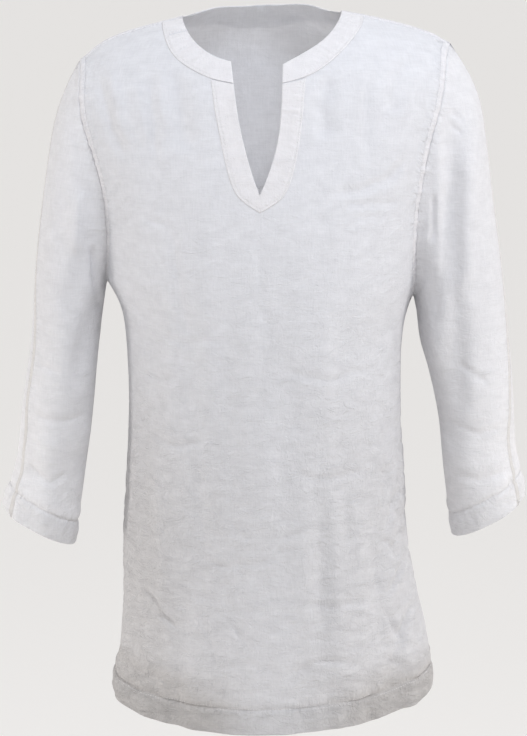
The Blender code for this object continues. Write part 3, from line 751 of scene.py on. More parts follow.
def beside_line(points, line_names, reach):
    """Each point's distance from the nearest of the lines, and how far along that line it lies."""
    stations = []
    lengths = []
    for name in line_names:
        line = line_points(name)
        gone = LINE_SHIFT * len(lengths)
        for before, after in zip(line, line[1:]):
            stations.append(before)
            lengths.append(gone)
            gone += (after - before).length
        stations.append(line[-1])
        lengths.append(gone)
    tree = tree_of(stations)
    away = np.full(len(points), 1.0)
    along = np.zeros(len(points))
    places = np.array(stations)
    low, high = places.min(axis=0) - reach, places.max(axis=0) + reach
    inside = np.flatnonzero(((points > low) & (points < high)).all(axis=1))
    for index in inside:
        _, station, distance = tree.find(points[index])
        if distance < reach:
            away[index] = distance
            along[index] = lengths[station]
    return away, along


def wave_along(along, spacing, start):
    """An uneven wave along a seam, from -1 to 1."""
    spread = np.column_stack((along, np.zeros_like(along), np.zeros_like(along)))
    return noise_at(spread, (spacing / 2, 1.0, 1.0), start)


def pucker_relief(points):
    """The short puckers that stand across the armholes."""
    away, along = beside_line(points, ARMHOLES, 0.05)
    rise = wave_along(along, PUCKER_SPACING, 3.1) + 0.5 * wave_along(along, 2.3 * PUCKER_SPACING, 8.2)
    return PUCKER_DEPTH * rise * np.exp(-away / PUCKER_REACH)


def hem_relief(points, hems, depth):
    """The doubled cloth of a hem, its sunk stitch line, and the roll, puckers and bulges beside it."""
    away, along = beside_line(points, hems, HEM_REACH)
    layers = HEM_LAYERS * (1 - smooth_step(depth - 0.001, depth + 0.001, away))
    sunk = HEM_SUNK * hump(away, depth, 0.0024)
    roll = HEM_ROLL * (0.55 + 0.75 * wave_along(along, 0.075, 1.7)) * hump(away - depth, 0.008, 0.0065)
    puckers = HEM_PUCKERS * wave_along(along, 0.011, 6.6) * hump(away, depth, 0.009)
    bulge = HEM_BULGE * (1 + wave_along(along, 0.050, 4.9)) * hump(away, depth / 2, 0.007)
    bulge += HEM_CRUMPLE * wave_along(along, 0.016, 14.3) * hump(away, depth / 2, 0.009)
    return np.where(away < HEM_REACH - 0.001, layers - sunk + roll + puckers + bulge, 0.0)


def slump_over(points, hems, depth):
    """How far the cloth just above a hem's stitches sinks down over them."""
    away, along = beside_line(points, hems, SLUMP_REACH)
    slack = np.clip(0.35 + 1.3 * wave_along(along, 0.060, 1.7), 0.0, 1.0)
    return HEM_SLUMP * slack * hump(away - depth, 0.0035, 0.0028) * (away < SLUMP_REACH - 0.001)


# %% Shape the large sheets
SEAM_CALM = 0.010
CUFF_SHARE = 0.80
SLEEVE_SHARE = 0.6
ARMHOLES = tuple(name for name in lines if name.startswith("armhole"))
HEMS = ("hem_front", "hem_back")
CUFFS = tuple(name for name in lines if name.startswith("cuff"))
LONG_SEAMS = ARMHOLES + tuple(name for name in lines if name.startswith(("outer", "under")))


def points_and_normals(mesh):
    """The places of a mesh's vertices and their directions out of the surface."""
    points = np.empty(len(mesh.vertices) * 3)
    normals = np.empty(len(mesh.vertices) * 3)
    mesh.vertices.foreach_get("co", points)
    mesh.vertex_normals.foreach_get("vector", normals)
    return points.reshape(-1, 3), normals.reshape(-1, 3)


def place_points(mesh, points):
    """Moves a mesh's vertices to new places."""
    mesh.vertices.foreach_set("co", points.ravel())
    mesh.update()


SeamRule = namedtuple("SeamRule", "line_names inset strength sheet_names")
SHOULDERS = ("shoulder_right", "shoulder_left")
SIDE_SEAMS = ("side_seam_right", "side_seam_left")
OUTER_SLEEVES = ("outer_sleeve_right", "outer_sleeve_left")
UNDER_SLEEVES = ("under_sleeve_right", "under_sleeve_left")
SEAM_RULES = (
    SeamRule(ARMHOLES, 0.0055, 1.0, PANELS),
    SeamRule(ARMHOLES, 0.0, 0.6, SLEEVES),
    SeamRule(HEMS, HEM_DEPTH, 1.0, PANELS),
    SeamRule(CUFFS, CUFF_DEPTH, 0.70, SLEEVES),
    SeamRule(SHOULDERS, 0.0048, 0.8, PANELS[:1]),
    SeamRule(OUTER_SLEEVES, 0.0048, 1.0, SLEEVES[1::2]),
    SeamRule(OUTER_SLEEVES, 0.0, 0.8, SLEEVES[::2]),
    SeamRule(SIDE_SEAMS, 0.0, 0.5, PANELS),
    SeamRule(UNDER_SLEEVES, 0.0, 0.5, SLEEVES),
)
SEAM_SHADE_REACH = 0.022
NO_SEAM = 0.05
CROSSING_CALM = 0.005


def seam_places(name, points):
    """How far each point lies along a seam and from its stitch line, and how strongly the seam draws."""
    place = np.column_stack((np.zeros(len(points)), np.full(len(points), NO_SEAM), np.zeros(len(points))))
    second = np.full(len(points), NO_SEAM)
    for rule in SEAM_RULES:
        if name in rule.sheet_names:
            away, along = beside_line(points, rule.line_names, rule.inset + SEAM_SHADE_REACH)
            from_stitches = away - rule.inset
            reached = np.where(away < rule.inset + SEAM_SHADE_REACH, np.abs(from_stitches), NO_SEAM)
            closer = reached < np.abs(place[:, 1])
            second = np.minimum(second, np.where(closer, np.abs(place[:, 1]), reached))
            place[closer, 0] = along[closer]
            place[closer, 1] = from_stitches[closer]
            place[closer, 2] = rule.strength
    place[:, 2] *= smooth_step(0.0, CROSSING_CALM, second - np.abs(place[:, 1]))
    return place


def store_seam_places(mesh, place, crumpled):
    """Keeps the seam places and a number for crinkle and painted shade as attributes that the material
    reads.
    """
    attribute = mesh.attributes.new("seam_place", "FLOAT_VECTOR", "POINT")
    attribute.data.foreach_set("vector", place.ravel())
    attribute = mesh.attributes.new("crumpled", "FLOAT", "POINT")
    attribute.data.foreach_set("value", crumpled)


def painted_shade_at_hem_ends_and_side(points):
    """How much more shade is painted on a panel at its hem's ends and low on its right side, and how much
    less in its middle.
    """
    across, level = points[:, 0], points[:, 2]
    ends = 0.55 + 1.30 * smooth_step(0.0, -0.13, across) + 0.90 * smooth_step(0.06, 0.14, across)
    at_hem = ends * smooth_step(-0.650, -0.705, level)
    at_side = smooth_step(-0.060, -0.125, across) * smooth_step(-0.26, -0.60, level)
    at_middle = hump(across, 0.015, 0.045) * smooth_step(-0.30, -0.50, level)
    return at_hem * (1 - 0.5 * at_middle) + 0.55 * at_side - 0.30 * at_middle


reliefs = {}
for name in PANELS + SLEEVES:
    points, normals = points_and_normals(sheets[name].data)
    from_seams, _ = beside_line(points, LONG_SEAMS, 0.03)
    calm = 0.25 + 0.75 * smooth_step(0.0, SEAM_CALM, from_seams)
    crumple = SLEEVE_SHARE if name in SLEEVES else 1.0
    height = calm * (drawn_relief(points, normals) + crumple * crumple_relief(points))
    height += pucker_relief(points)
    height += hem_relief(points, HEMS, HEM_DEPTH) + CUFF_SHARE * hem_relief(points, CUFFS, CUFF_DEPTH)
    reliefs[name] = (points, normals, height)
    if name in PANELS:
        # Besides the crinkle, this number sets how much shade is painted into the colour: more towards the
        # hem, at the hem's ends and low on the right side, less in the middle.
        crumpled = 0.40 + 0.95 * smooth_step(-0.12, -0.52, points[:, 2]) + painted_shade_at_hem_ends_and_side(points)
    else:
        # On the sleeves this number also sets painted shade, strongest at their tops, where it is lowest.
        crumpled = 0.45 + 0.45 * smooth_step(-0.20, -0.50, points[:, 2])
    store_seam_places(sheets[name].data, seam_places(name, points), crumpled)
for name, (points, normals, height) in reliefs.items():
    shaped = points + normals * (FORM_WALL + height)[:, None]
    shaped[:, 2] -= slump_over(points, HEMS, HEM_DEPTH)
    shaped[:, 2] -= CUFF_SHARE * slump_over(points, CUFFS, CUFF_DEPTH)
    place_points(sheets[name].data, shaped)
    print(f"{name} is raised by {height.min() * 1000:.1f} to {height.max() * 1000:.1f} mm")

# %% [markdown]
# ## The strips that lie on the shirt
# The neck band and the slit's facing are cut separately and topstitched on the outside. So each is laid on
# the cloth that it is sewn to: every point drops to the nearest place on the finished sheet and stands off
# from it by the strip's own thickness. Its outer edge is turned under, which shows as a low roll beside the
# stitches.

# %% Lay the strips on the cloth
STRIP_RISE = 0.0008
EDGE_ROLL = 0.00015
EDGE_ROLL_WIDTH = 0.0011
EDGE_SINK = 0.0005
STITCH_INSET = 0.0026
STITCH_SINK = 0.00025
CLEAR_OF_EDGES = 0.008
CLEAR_OF_STRIPS = 0.0045
STRIP_WAVE = 0.00022
STRIP_UNEVENNESS = 0.00030
STRIP_CRINKLE = 0.45
STRIP_SEAM = 0.45


def surface_of(*names):
    """One search tree over the outer sides of some sheets."""
    points = []
    polygons = []
    for name in names:
        mesh = sheets[name].data
        first = len(points)
        points += [vertex.co.copy() for vertex in mesh.vertices]
        polygons += [[first + index for index in polygon.vertices] for polygon in mesh.polygons]
    return BVHTree.FromPolygons(points, polygons)


body_surface = surface_of(*PANELS)
neck_trees = {}
for name in PANELS:
    neck_trees[name] = tree_of([sheets[name].data.vertices[index].co.copy() for index in loops[name]])


def outer_run(name):
    """The stretch of a strip's edge that lies on the cloth, away from the cloth's edge and other strips."""
    strips = [strip for strip in STRIPS if strip != name]

    def on_cloth(point):
        clear = min(neck_trees[cloth].find(point)[2] for cloth in neck_trees) > CLEAR_OF_EDGES
        return clear and min(edge_trees[strip].find(point)[2] for strip in strips) > CLEAR_OF_STRIPS

    return stretches(name, on_cloth)[0]


for name in STRIPS:
    lines[f"outer_{name}"] = (name, outer_run(name))
    print(f"outer edge of {name}: {len(lines[f'outer_{name}'][1])} points")

Puckered = namedtuple("Puckered", "across level spread depth")
PUCKERED_STRIPS = {
    "right_band_cloth": Puckered(-0.086, -0.012, 0.030, 0.0011),
    "left_band_cloth": Puckered(0.094, 0.000, 0.024, 0.0005),
    "slit_facing_cloth": Puckered(0.033, -0.074, 0.016, 0.0010),
    "back_band_cloth": Puckered(0.000, 0.010, 0.050, 0.0004),
}


def strip_relief(name, points):
    """The turned edge, the sunk stitch line and the puckers of a strip."""
    away, along = beside_line(points, (f"outer_{name}",), 0.03)
    height = EDGE_ROLL * hump(away, 0.0006, EDGE_ROLL_WIDTH)
    height -= STITCH_SINK * hump(away, STITCH_INSET, 0.0009)
    height -= EDGE_SINK * (1 - smooth_step(0.0, 0.0014, away))
    pucker = PUCKERED_STRIPS[name]
    from_pucker = np.hypot(points[:, 0] - pucker.across, points[:, 2] - pucker.level)
    near_pucker = hump(from_pucker, 0.0, pucker.spread)
    inside = smooth_step(0.0015, 0.006, away)
    height += (STRIP_WAVE + pucker.depth * near_pucker) * inside * wave_along(along, PUCKER_SPACING, 2.9)
    height += STRIP_UNEVENNESS * noise_at(points, (0.012, 0.012, 0.009), 3.7)
    return height


for name in STRIPS:
    mesh = sheets[name].data
    points, normals = points_and_normals(mesh)
    laid = np.array([body_surface.find_nearest(point)[0] for point in points])
    height = STRIP_RISE + strip_relief(name, points)
    away, along = beside_line(points, (f"outer_{name}",), SEAM_SHADE_REACH)
    place = np.column_stack((along, away - STITCH_INSET, np.full(len(points), STRIP_SEAM)))
    store_seam_places(mesh, place, np.full(len(points), STRIP_CRINKLE))
    drop = ((laid - points) * normals).sum(axis=1)
    place_points(mesh, points + normals * (drop + height)[:, None])
    print(f"{name} lies {height.min() * 1000:.1f} to {height.max() * 1000:.1f} mm above the cloth")

# %% [markdown]
# ## Linen
# Flax threads are uneven: each swells into slubs and thins out again, so plain-woven linen shows short
# streaks along both directions of the weave. Worn linen is also crinkled all over, like paper that was
# crumpled and smoothed out. The group works on the flat map in metres. It puts out a height for the bump
# and two masks, one for the colour of the slubs and one for softer clouds.

# %% Small helpers for node trees
def add_node(tree, kind, place, inputs=None, **settings):
    """A new node with its settings, and with fixed values for some of its inputs."""
    node = tree.nodes.new(kind)
    node.location = place
    for name, value in settings.items():
        setattr(node, name, value)
    set_inputs(node, inputs or {})
    return node


def wire(source, output, target, entry):
    """Joins an output of one node to an input of another in the same tree."""
    source.id_data.links.new(source.outputs[output], target.inputs[entry])


def maths(operation, place, first, second=0.0):
    """A Math node. Its first value is a (node, output) pair, and its second is a pair or a number."""
    node = add_node(first[0].id_data, "ShaderNodeMath", place, operation=operation)
    wire(*first, node, 0)
    if isinstance(second, tuple):
        wire(*second, node, 1)
    else:
        node.inputs[1].default_value = second
    return node


def fade(place, source, start, end):
    """A Map Range node that falls softly from 1 at start to 0 at end."""
    ends = {"From Min": start, "From Max": end, "To Min": 1.0, "To Max": 0.0}
    node = add_node(source[0].id_data, "ShaderNodeMapRange", place, ends, interpolation_type="SMOOTHSTEP")
    wire(*source, node, "Value")
    return node


def new_group(name, entries, results):
    """A node group with its inputs and outputs, and the two nodes that stand for them."""
    group = bpy.data.node_groups.new(name, "ShaderNodeTree")
    for entry, kind in entries:
        group.interface.new_socket(name=entry, in_out="INPUT", socket_type=kind)
    for result in results:
        group.interface.new_socket(name=result, in_out="OUTPUT", socket_type="NodeSocketFloat")
    group_in = add_node(group, "NodeGroupInput", (-1400, 0))
    group_out = add_node(group, "NodeGroupOutput", (900, 0))
    return group, group_in, group_out


# %% The weave and the crinkle
WARP_SLUBS = (720.0, 70.0, 1.0)
WEFT_SLUBS = (60.0, 660.0, 1.0)
BROAD_CRINKLE = (42.0, 84.0, 1.0)
FINE_CRINKLE = (140.0, 240.0, 1.0)
UPRIGHT_CRINKLE = (85.0, 38.0, 1.0)
CLOUDS = (55.0, 90.0, 1.0)
FINE_SHARE = 0.36
UPRIGHT_SHARE = 0.60

linen_weave, weave_in, weave_out = new_group(
    "linen_weave",
    (
        ("Flat Cut", "NodeSocketVector"),
        ("Slub Strength", "NodeSocketFloat"),
        ("Crinkle Strength", "NodeSocketFloat"),
    ),
    ("Height", "Slubs", "Cloudiness"),
)


def streaks(name, scale, place, detail=3.0, distortion=0.0):
    """Noise stretched along one direction of the cloth, from 0 to 1."""
    mapping = add_node(linen_weave, "ShaderNodeMapping", place, {"Scale": scale}, label=name)
    wire(weave_in, "Flat Cut", mapping, "Vector")
    look = {"Scale": 1.0, "Detail": detail, "Roughness": 0.6, "Distortion": distortion}
    beside = (place[0] + 200, place[1])
    noise_node = add_node(linen_weave, "ShaderNodeTexNoise", beside, look, noise_dimensions="2D")
    wire(mapping, "Vector", noise_node, "Vector")
    return noise_node


def folded(name, scale, place, height, detail, distortion):
    """Streaks folded at their middle, so that they meet in sharp creases."""
    source = streaks(name, scale, place, detail, distortion)
    about = maths("SUBTRACT", (place[0] + 400, place[1]), (source, "Fac"), 0.5)
    sharp = maths("ABSOLUTE", (place[0] + 560, place[1]), (about, 0))
    return maths("MULTIPLY", (place[0] + 720, place[1]), (sharp, 0), height)


warp_slubs = streaks("slubs of the warp", WARP_SLUBS, (-1200, 600))
weft_slubs = streaks("slubs of the weft", WEFT_SLUBS, (-1200, 300))
slub_sum = maths("ADD", (-700, 450), (warp_slubs, "Fac"), (weft_slubs, "Fac"))
slub_mean = maths("MULTIPLY", (-520, 450), (slub_sum, 0), 0.5)
slub_height = maths("MULTIPLY", (-340, 450), (slub_mean, 0), (weave_in, "Slub Strength"))
broad_crinkle = folded("broad crinkle", BROAD_CRINKLE, (-1200, 0), 1.0, 5.0, 1.3)
fine_crinkle = folded("fine crinkle", FINE_CRINKLE, (-1200, -300), FINE_SHARE, 3.0, 1.0)
upright_crinkle = folded("upright crinkle", UPRIGHT_CRINKLE, (-1200, -600), UPRIGHT_SHARE, 4.0, 1.3)
clouds = streaks("clouds", CLOUDS, (-1200, -900), 4.0, 0.3)
crinkle_pair = maths("ADD", (-250, -100), (broad_crinkle, 0), (fine_crinkle, 0))
crinkle_all = maths("ADD", (-100, -100), (crinkle_pair, 0), (upright_crinkle, 0))
crinkle_height = maths("MULTIPLY", (50, -100), (crinkle_all, 0), (weave_in, "Crinkle Strength"))
whole_height = maths("ADD", (250, 100), (slub_height, 0), (crinkle_height, 0))
wire(whole_height, 0, weave_out, "Height")
wire(slub_mean, 0, weave_out, "Slubs")
wire(clouds, "Fac", weave_out, "Cloudiness")
print(linen_weave.name, "has", len(linen_weave.nodes), "nodes")

# %% [markdown]
# A seam is finer than the mesh: its stitch line is a groove a millimetre wide, and the puckers that it
# draws are three or four millimetres apart. Every vertex already knows how far it lies along the nearest
# seam and how far from its stitches, so a second group can draw groove, puckers and the step of the folded
# cloth from those two numbers, as sharply as the render asks.

# %% Seams as a node group
GROOVE_DEPTH = -0.32
GROOVE_HALF = 0.0021
STEP_HEIGHT = 0.20
PUCKER_SCALE = (210.0, 48.0, 0.0)
PUCKER_HEIGHT = 1.25

seam_entries = (("Seam Place", "NodeSocketVector"),)
seam_relief, seam_in, seam_out = new_group("seam_relief", seam_entries, ("Height",))
place_parts = add_node(seam_relief, "ShaderNodeSeparateXYZ", (-1000, 0))
wire(seam_in, "Seam Place", place_parts, 0)
from_stitches = maths("ABSOLUTE", (-800, 100), (place_parts, "Y"))
groove = fade((-600, 300), (from_stitches, 0), 0.0, GROOVE_HALF)
layers_step = fade((-600, 100), (place_parts, "Y"), 0.0002, 0.0014)
near_stitches = fade((-600, -100), (from_stitches, 0), 0.001, 0.013)
pucker_map = add_node(seam_relief, "ShaderNodeMapping", (-800, -300), {"Scale": PUCKER_SCALE})
wire(seam_in, "Seam Place", pucker_map, "Vector")
pucker_look = {"Scale": 1.0, "Detail": 2.0}
pucker_noise = add_node(seam_relief, "ShaderNodeTexNoise", (-600, -300), pucker_look, noise_dimensions="2D")
wire(pucker_map, "Vector", pucker_noise, "Vector")
puckers = maths("MULTIPLY", (-400, -200), (pucker_noise, "Fac"), (near_stitches, 0))
pucker_height = maths("MULTIPLY", (-240, -200), (puckers, 0), PUCKER_HEIGHT)
groove_depth = maths("MULTIPLY", (-400, 300), (groove, 0), GROOVE_DEPTH)
step_height = maths("MULTIPLY", (-400, 100), (layers_step, 0), STEP_HEIGHT)
line_height = maths("ADD", (-200, 200), (groove_depth, 0), (step_height, 0))
drawn_height = maths("ADD", (0, 100), (line_height, 0), (pucker_height, 0))
kept_height = maths("MULTIPLY", (200, 100), (drawn_height, 0), (place_parts, "Z"))
wire(kept_height, 0, seam_out, "Height")
print(seam_relief.name, "has", len(seam_relief.nodes), "nodes")

# %% [markdown]
# Every piece gets its own linen from one recipe, so that a single piece can be recoloured. White cloth is
# not pure white: the slubs catch a little less light, and clouds of thinner cloth look greyer. Shade is
# also
# painted into the colour: the body goes greyer and warmer towards its hem, where it is crumpled most, and
# more so at the hem's ends and low on its right side, less in its middle. Each sheet carries one number for
# how crumpled it is and how much shade is painted on it, so the recipe multiplies a tint in where that
# number is high. The sleeves are painted paler than the body, as painted light, with painted shade at their
# tops, and double cloth is the warmest. Light also passes through one thin layer, which keeps the inside of
# the back from going dark, so the shader scatters some of it below the surface.

# %% The linen of each piece
SLUB_STRENGTH = 0.06
SLUB_TONE = 0.35
CLOUD_TONE = 0.25
TONE_ENDS = (0.18, 0.42)
ROUGHNESS = {"To Min": 0.74, "To Max": 0.96}
RELIEF_DEPTH = 0.0020
CLOTH_LIGHT = {
    "Sheen Weight": 0.10,
    "Sheen Roughness": 0.45,
    "Specular IOR Level": 0.25,
    "Subsurface Weight": 0.3,
    "Subsurface Radius": (1.0, 0.96, 0.92),
    "Subsurface Scale": 0.0035,
}
# Painted shade: each tint below is multiplied into a piece's colour, darkening the body towards its hem and
# the sleeves at their tops.
Greyed = namedtuple("Greyed", "tint full none")
BODY_PAINTED_SHADE = Greyed((0.790, 0.762, 0.722), 2.6, 0.75)
SLEEVE_PAINTED_SHADE = Greyed((0.890, 0.890, 0.895), 0.45, 0.95)
NO_PAINTED_SHADE = Greyed((1.0, 1.0, 1.0), 2.2, 0.75)
Finish = namedtuple("Finish", "shade light greyed")
BODY_LINEN = Finish((0.532, 0.531, 0.552), (0.638, 0.637, 0.660), BODY_PAINTED_SHADE)
# Painted light: the sleeves' linen is given a paler colour than the body's, though it is the same cloth.
SLEEVE_LINEN_PAINTED_LIGHTER = Finish((0.640, 0.633, 0.646), (0.760, 0.752, 0.767), SLEEVE_PAINTED_SHADE)
DOUBLE_LINEN = Finish((0.612, 0.596, 0.606), (0.700, 0.682, 0.694), NO_PAINTED_SHADE)
FELLED_LINEN = Finish(BODY_LINEN.shade, DOUBLE_LINEN.light, NO_PAINTED_SHADE)
OUTER_FELLED_LINEN = Finish((0.545, 0.528, 0.515), (0.640, 0.622, 0.610), NO_PAINTED_SHADE)


def linen(name, finish):
    """Linen in one finish, with its weave, crinkle, seams and painted shade."""
    material, shader = new_material(name)
    tree = material.node_tree
    cut_map = add_node(tree, "ShaderNodeUVMap", (-1000, 0), uv_map="flat_cut")
    slub_strength = {"Slub Strength": SLUB_STRENGTH}
    weave = add_node(tree, "ShaderNodeGroup", (-800, 0), slub_strength, node_tree=linen_weave)
    crumple_and_shade_map = add_node(tree, "ShaderNodeAttribute", (-1000, -150), attribute_name="crumpled")
    wire(crumple_and_shade_map, "Fac", weave, "Crinkle Strength")
    wire(cut_map, "UV", weave, "Flat Cut")
    seam_map = add_node(tree, "ShaderNodeAttribute", (-1000, -300), attribute_name="seam_place")
    seams = add_node(tree, "ShaderNodeGroup", (-800, -300), node_tree=seam_relief)
    wire(seam_map, "Vector", seams, "Seam Place")
    slub_tone = maths("MULTIPLY", (-700, 350), (weave, "Slubs"), SLUB_TONE)
    tone = maths("MULTIPLY_ADD", (-600, 200), (weave, "Cloudiness"), CLOUD_TONE)
    wire(slub_tone, 0, tone, 2)
    colour = add_node(tree, "ShaderNodeValToRGB", (-480, 200))
    for end, place, shown in zip(colour.color_ramp.elements, TONE_ENDS, (finish.shade, finish.light)):
        end.position = place
        end.color = (*shown, 1.0)
    wire(tone, 0, colour, "Fac")
    # Painted shade: the tint is multiplied into the colour where the attribute is high.
    painted_shade_amount = fade((-480, 450), (crumple_and_shade_map, "Fac"), finish.greyed.full, finish.greyed.none)
    grey = add_node(tree, "ShaderNodeMix", (-200, 300), data_type="RGBA", blend_type="MULTIPLY")
    wire(painted_shade_amount, 0, grey, "Factor")
    wire(colour, "Color", grey, 6)
    grey.inputs[7].default_value = (*finish.greyed.tint, 1.0)
    wire(grey, 2, shader, "Base Color")
    roughness = add_node(tree, "ShaderNodeMapRange", (-520, -100), ROUGHNESS)
    wire(weave, "Cloudiness", roughness, "Value")
    wire(roughness, "Result", shader, "Roughness")
    relief = maths("ADD", (-520, -300), (weave, "Height"), (seams, "Height"))
    bump = add_node(tree, "ShaderNodeBump", (-300, -300), {"Strength": 1.0, "Distance": RELIEF_DEPTH})
    wire(relief, 0, bump, "Height")
    wire(bump, "Normal", shader, "Normal")
    set_inputs(shader, CLOTH_LIGHT)
    return material


for cut in CUTS:
    finish = BODY_LINEN
    if cut.name in SLEEVES:
        finish = SLEEVE_LINEN_PAINTED_LIGHTER
    elif cut.name in STRIPS:
        finish = DOUBLE_LINEN
    sheets[cut.name].data.materials.clear()
    sheets[cut.name].data.materials.append(linen(f"linen_{cut.node}", finish))
felled_linen = linen("felled_linen", FELLED_LINEN)
outer_felled_linen = linen("outer_felled_linen", OUTER_FELLED_LINEN)
print(len(bpy.data.materials), "materials are made")

# %% [markdown]
# ## Felled seams
# The armholes, the shoulders and the outer sleeve seams are felled: the seam allowance is folded flat to
# one side and stitched down again about five millimetres away, which leaves a raised band. Each band is a
# narrow grid, laid along the seam and pressed onto the sheet that carries it. Its edges dip into the cloth,
# so no gap shows beside it.

# %% Follow an edge
STATION = 0.002


def unit(vectors):
    """The same directions with a length of one."""
    return vectors / np.maximum(np.linalg.norm(vectors, axis=1), 1e-9)[:, None]


def smoothed(vectors, rounds):
    """Evens vectors out along their line."""
    for _ in range(rounds):
        inner = (vectors[:-2] + 2 * vectors[1:-1] + vectors[2:]) / 4
        vectors = np.vstack((vectors[:1], inner, vectors[-1:]))
    return vectors


def follow_edge(sheet_name, run, spacing):
    """Evenly spaced points on an edge, with the directions along it, into the cloth and outwards."""
    mesh = sheets[sheet_name].data
    points, normals = points_and_normals(mesh)
    inside = {index: Vector() for index in run}
    for polygon in mesh.polygons:
        for index in polygon.vertices:
            if index in inside:
                inside[index] += polygon.center - mesh.vertices[index].co
    line = points[run]
    out = smoothed(unit(normals[run]), 3)
    into = np.array([tuple(inside[index]) for index in run])
    ahead = unit(np.gradient(line, axis=0))
    into -= (into * ahead).sum(axis=1)[:, None] * ahead
    into -= (into * out).sum(axis=1)[:, None] * out
    into = smoothed(unit(into), 4)
    gone = np.concatenate(((0.0,), np.cumsum(np.linalg.norm(np.diff(line, axis=0), axis=1))))
    stations = np.linspace(0.0, gone[-1], max(int(gone[-1] / spacing), 2) + 1)
    spread = [
        np.column_stack([np.interp(stations, gone, values[:, axis]) for axis in range(3)])
        for values in (line, ahead, into, out)
    ]
    return stations, spread[0], unit(spread[1]), unit(spread[2]), unit(spread[3])


# %% Lay a felled band
FELL_ACROSS = (-0.0010, 0.0, 0.0010, 0.0024, 0.0040, 0.0054, 0.0063, 0.0070)
FELL_RISE = (-0.0007, 0.0003, 0.0008, 0.0008, 0.00065, 0.00070, 0.0005, -0.0004)
FELL_RUCK = 0.00022
FELL_STITCHES = 0.0054
FELL_MIDDLE = 0.0028
FELL_HALF = 0.0045
FELL_SEAM = 0.5
FELL_CRINKLE = 0.4


def lay_fell(name, line_name):
    """A raised band beside a seam, on the sheet that the seam's line belongs to."""
    sheet_name, run = lines[line_name]
    surface = surface_of(sheet_name)
    along, points, _, intos, outs = follow_edge(sheet_name, run, STATION)
    columns = len(FELL_ACROSS)
    ruck = FELL_RUCK * (wave_along(along, 0.0065, 4.2) + 0.6 * wave_along(along, 0.019, 9.3))
    bm = bmesh.new()
    bmesh.ops.create_grid(bm, x_segments=columns - 1, y_segments=len(points) - 1, size=1.0)
    bm.verts.ensure_lookup_table()
    place = np.empty((len(bm.verts), 3))
    for row in range(len(points)):
        for column, (across, rise) in enumerate(zip(FELL_ACROSS, FELL_RISE)):
            spot = Vector(points[row] + intos[row] * across)
            out = Vector(outs[row])
            if across > 0:
                spot, out, _, _ = surface.find_nearest(spot)
            middle = 1 - abs(across - FELL_MIDDLE) / FELL_HALF
            bm.verts[row * columns + column].co = spot + out * (rise + ruck[row] * max(middle, 0.0))
            place[row * columns + column] = (along[row], across - FELL_STITCHES, FELL_SEAM)
    bm.normal_update()
    bm.faces.ensure_lookup_table()
    middle_face = bm.faces[len(bm.faces) // 2]
    if middle_face.normal.dot(Vector(outs[len(points) // 2])) < 0:
        bmesh.ops.reverse_faces(bm, faces=bm.faces)
    flat = bm.loops.layers.uv.new("flat_cut")
    for face in bm.faces:
        for loop in face.loops:
            row, column = divmod(loop.vert.index, columns)
            loop[flat].uv = (FELL_ACROSS[column], along[row])
    mesh = mesh_of(bm, name)
    mesh.shade_smooth()
    store_seam_places(mesh, place, np.full(len(place), FELL_CRINKLE))
    mesh.materials.append(outer_felled_linen if line_name in OUTER_SLEEVES else felled_linen)
    return show(name, mesh)


FELLED_SEAMS = ARMHOLES + SHOULDERS + OUTER_SLEEVES
fells = {}
for line_name in FELLED_SEAMS:
    fell = lay_fell(f"fell_{line_name}", line_name)
    fells.setdefault(lines[line_name][0], []).append(fell)
    print(fell.name, "has", len(fell.data.polygons), "faces")

# %% [markdown]
# ## Stitches
# The topstitching is white thread, three millimetres a stitch. Each stitch is one small flattened ball laid
# along its line, and all the stitches of a sheet are one mesh.

# %% Topstitching
STITCH_STEP = 0.0030
STITCH_HALF = (0.00105, 0.00030, 0.00026)
FELL_STITCH_LIFT = 0.00065
THREAD_COLOUR = (0.70, 0.69, 0.69, 1.0)

thread, thread_shader = new_material("white_thread")
set_inputs(thread_shader, {"Base Color": THREAD_COLOUR, "Roughness": 0.6})


def stitch_places(line_name, inset, lift, surface):
    """A matrix for every stitch of a line that runs at a distance inside an edge."""
    sheet_name, run = lines[line_name]
    _, points, aheads, intos, _ = follow_edge(sheet_name, run, STITCH_STEP)
    for point, ahead, into in zip(points, aheads, intos):
        spot, out, _, _ = surface.find_nearest(Vector(point + into * inset))
        side = out.cross(Vector(ahead)).normalized()
        forward = side.cross(out)
        axes = (forward * STITCH_HALF[0], side * STITCH_HALF[1], out * STITCH_HALF[2])
        yield Matrix.Translation(spot + out * lift) @ Matrix(axes).transposed().to_4x4()


StitchLine = namedtuple("StitchLine", "line_name inset lift")
STITCH_LINES = tuple(
    [StitchLine(name, FELL_STITCHES, FELL_STITCH_LIFT) for name in FELLED_SEAMS]
    + [StitchLine(name, HEM_DEPTH, 0.0) for name in HEMS]
    + [StitchLine(name, CUFF_DEPTH, 0.0) for name in CUFFS]
    + [StitchLine(f"outer_{name}", STITCH_INSET, 0.0) for name in STRIPS]
)
stitches = {}
for name in sheets:
    own = [line for line in STITCH_LINES if lines[line.line_name][0] == name]
    surface = surface_of(name)
    bm = bmesh.new()
    for line in own:
        for matrix in stitch_places(*line, surface):
            bmesh.ops.create_icosphere(bm, subdivisions=1, radius=1.0, matrix=matrix)
    mesh = mesh_of(bm, f"stitches_of_{name}")
    mesh.shade_smooth()
    mesh.materials.append(thread)
    stitches[name] = show(mesh.name, mesh)
    print(mesh.name, "has", len(mesh.polygons), "faces")

# %% [markdown]
# ## Turned hems
# The hem and both cuffs are turned up inside by an inch. The sheet's own edge is extruded round the fold
# and up the inner side, so the fold has the roundness of doubled cloth and an inner layer shows from below.

# %% Turn an edge up on the inside
Turn = namedtuple("Turn", "beyond inwards")
FOLD_STEPS = (Turn(-0.0006, 0.0004), Turn(-0.0009, 0.0012), Turn(-0.0005, 0.0020))
TURNED_LAYER = 0.0021
TURNED_ROWS = 3
TURN_SHORT = 0.0015


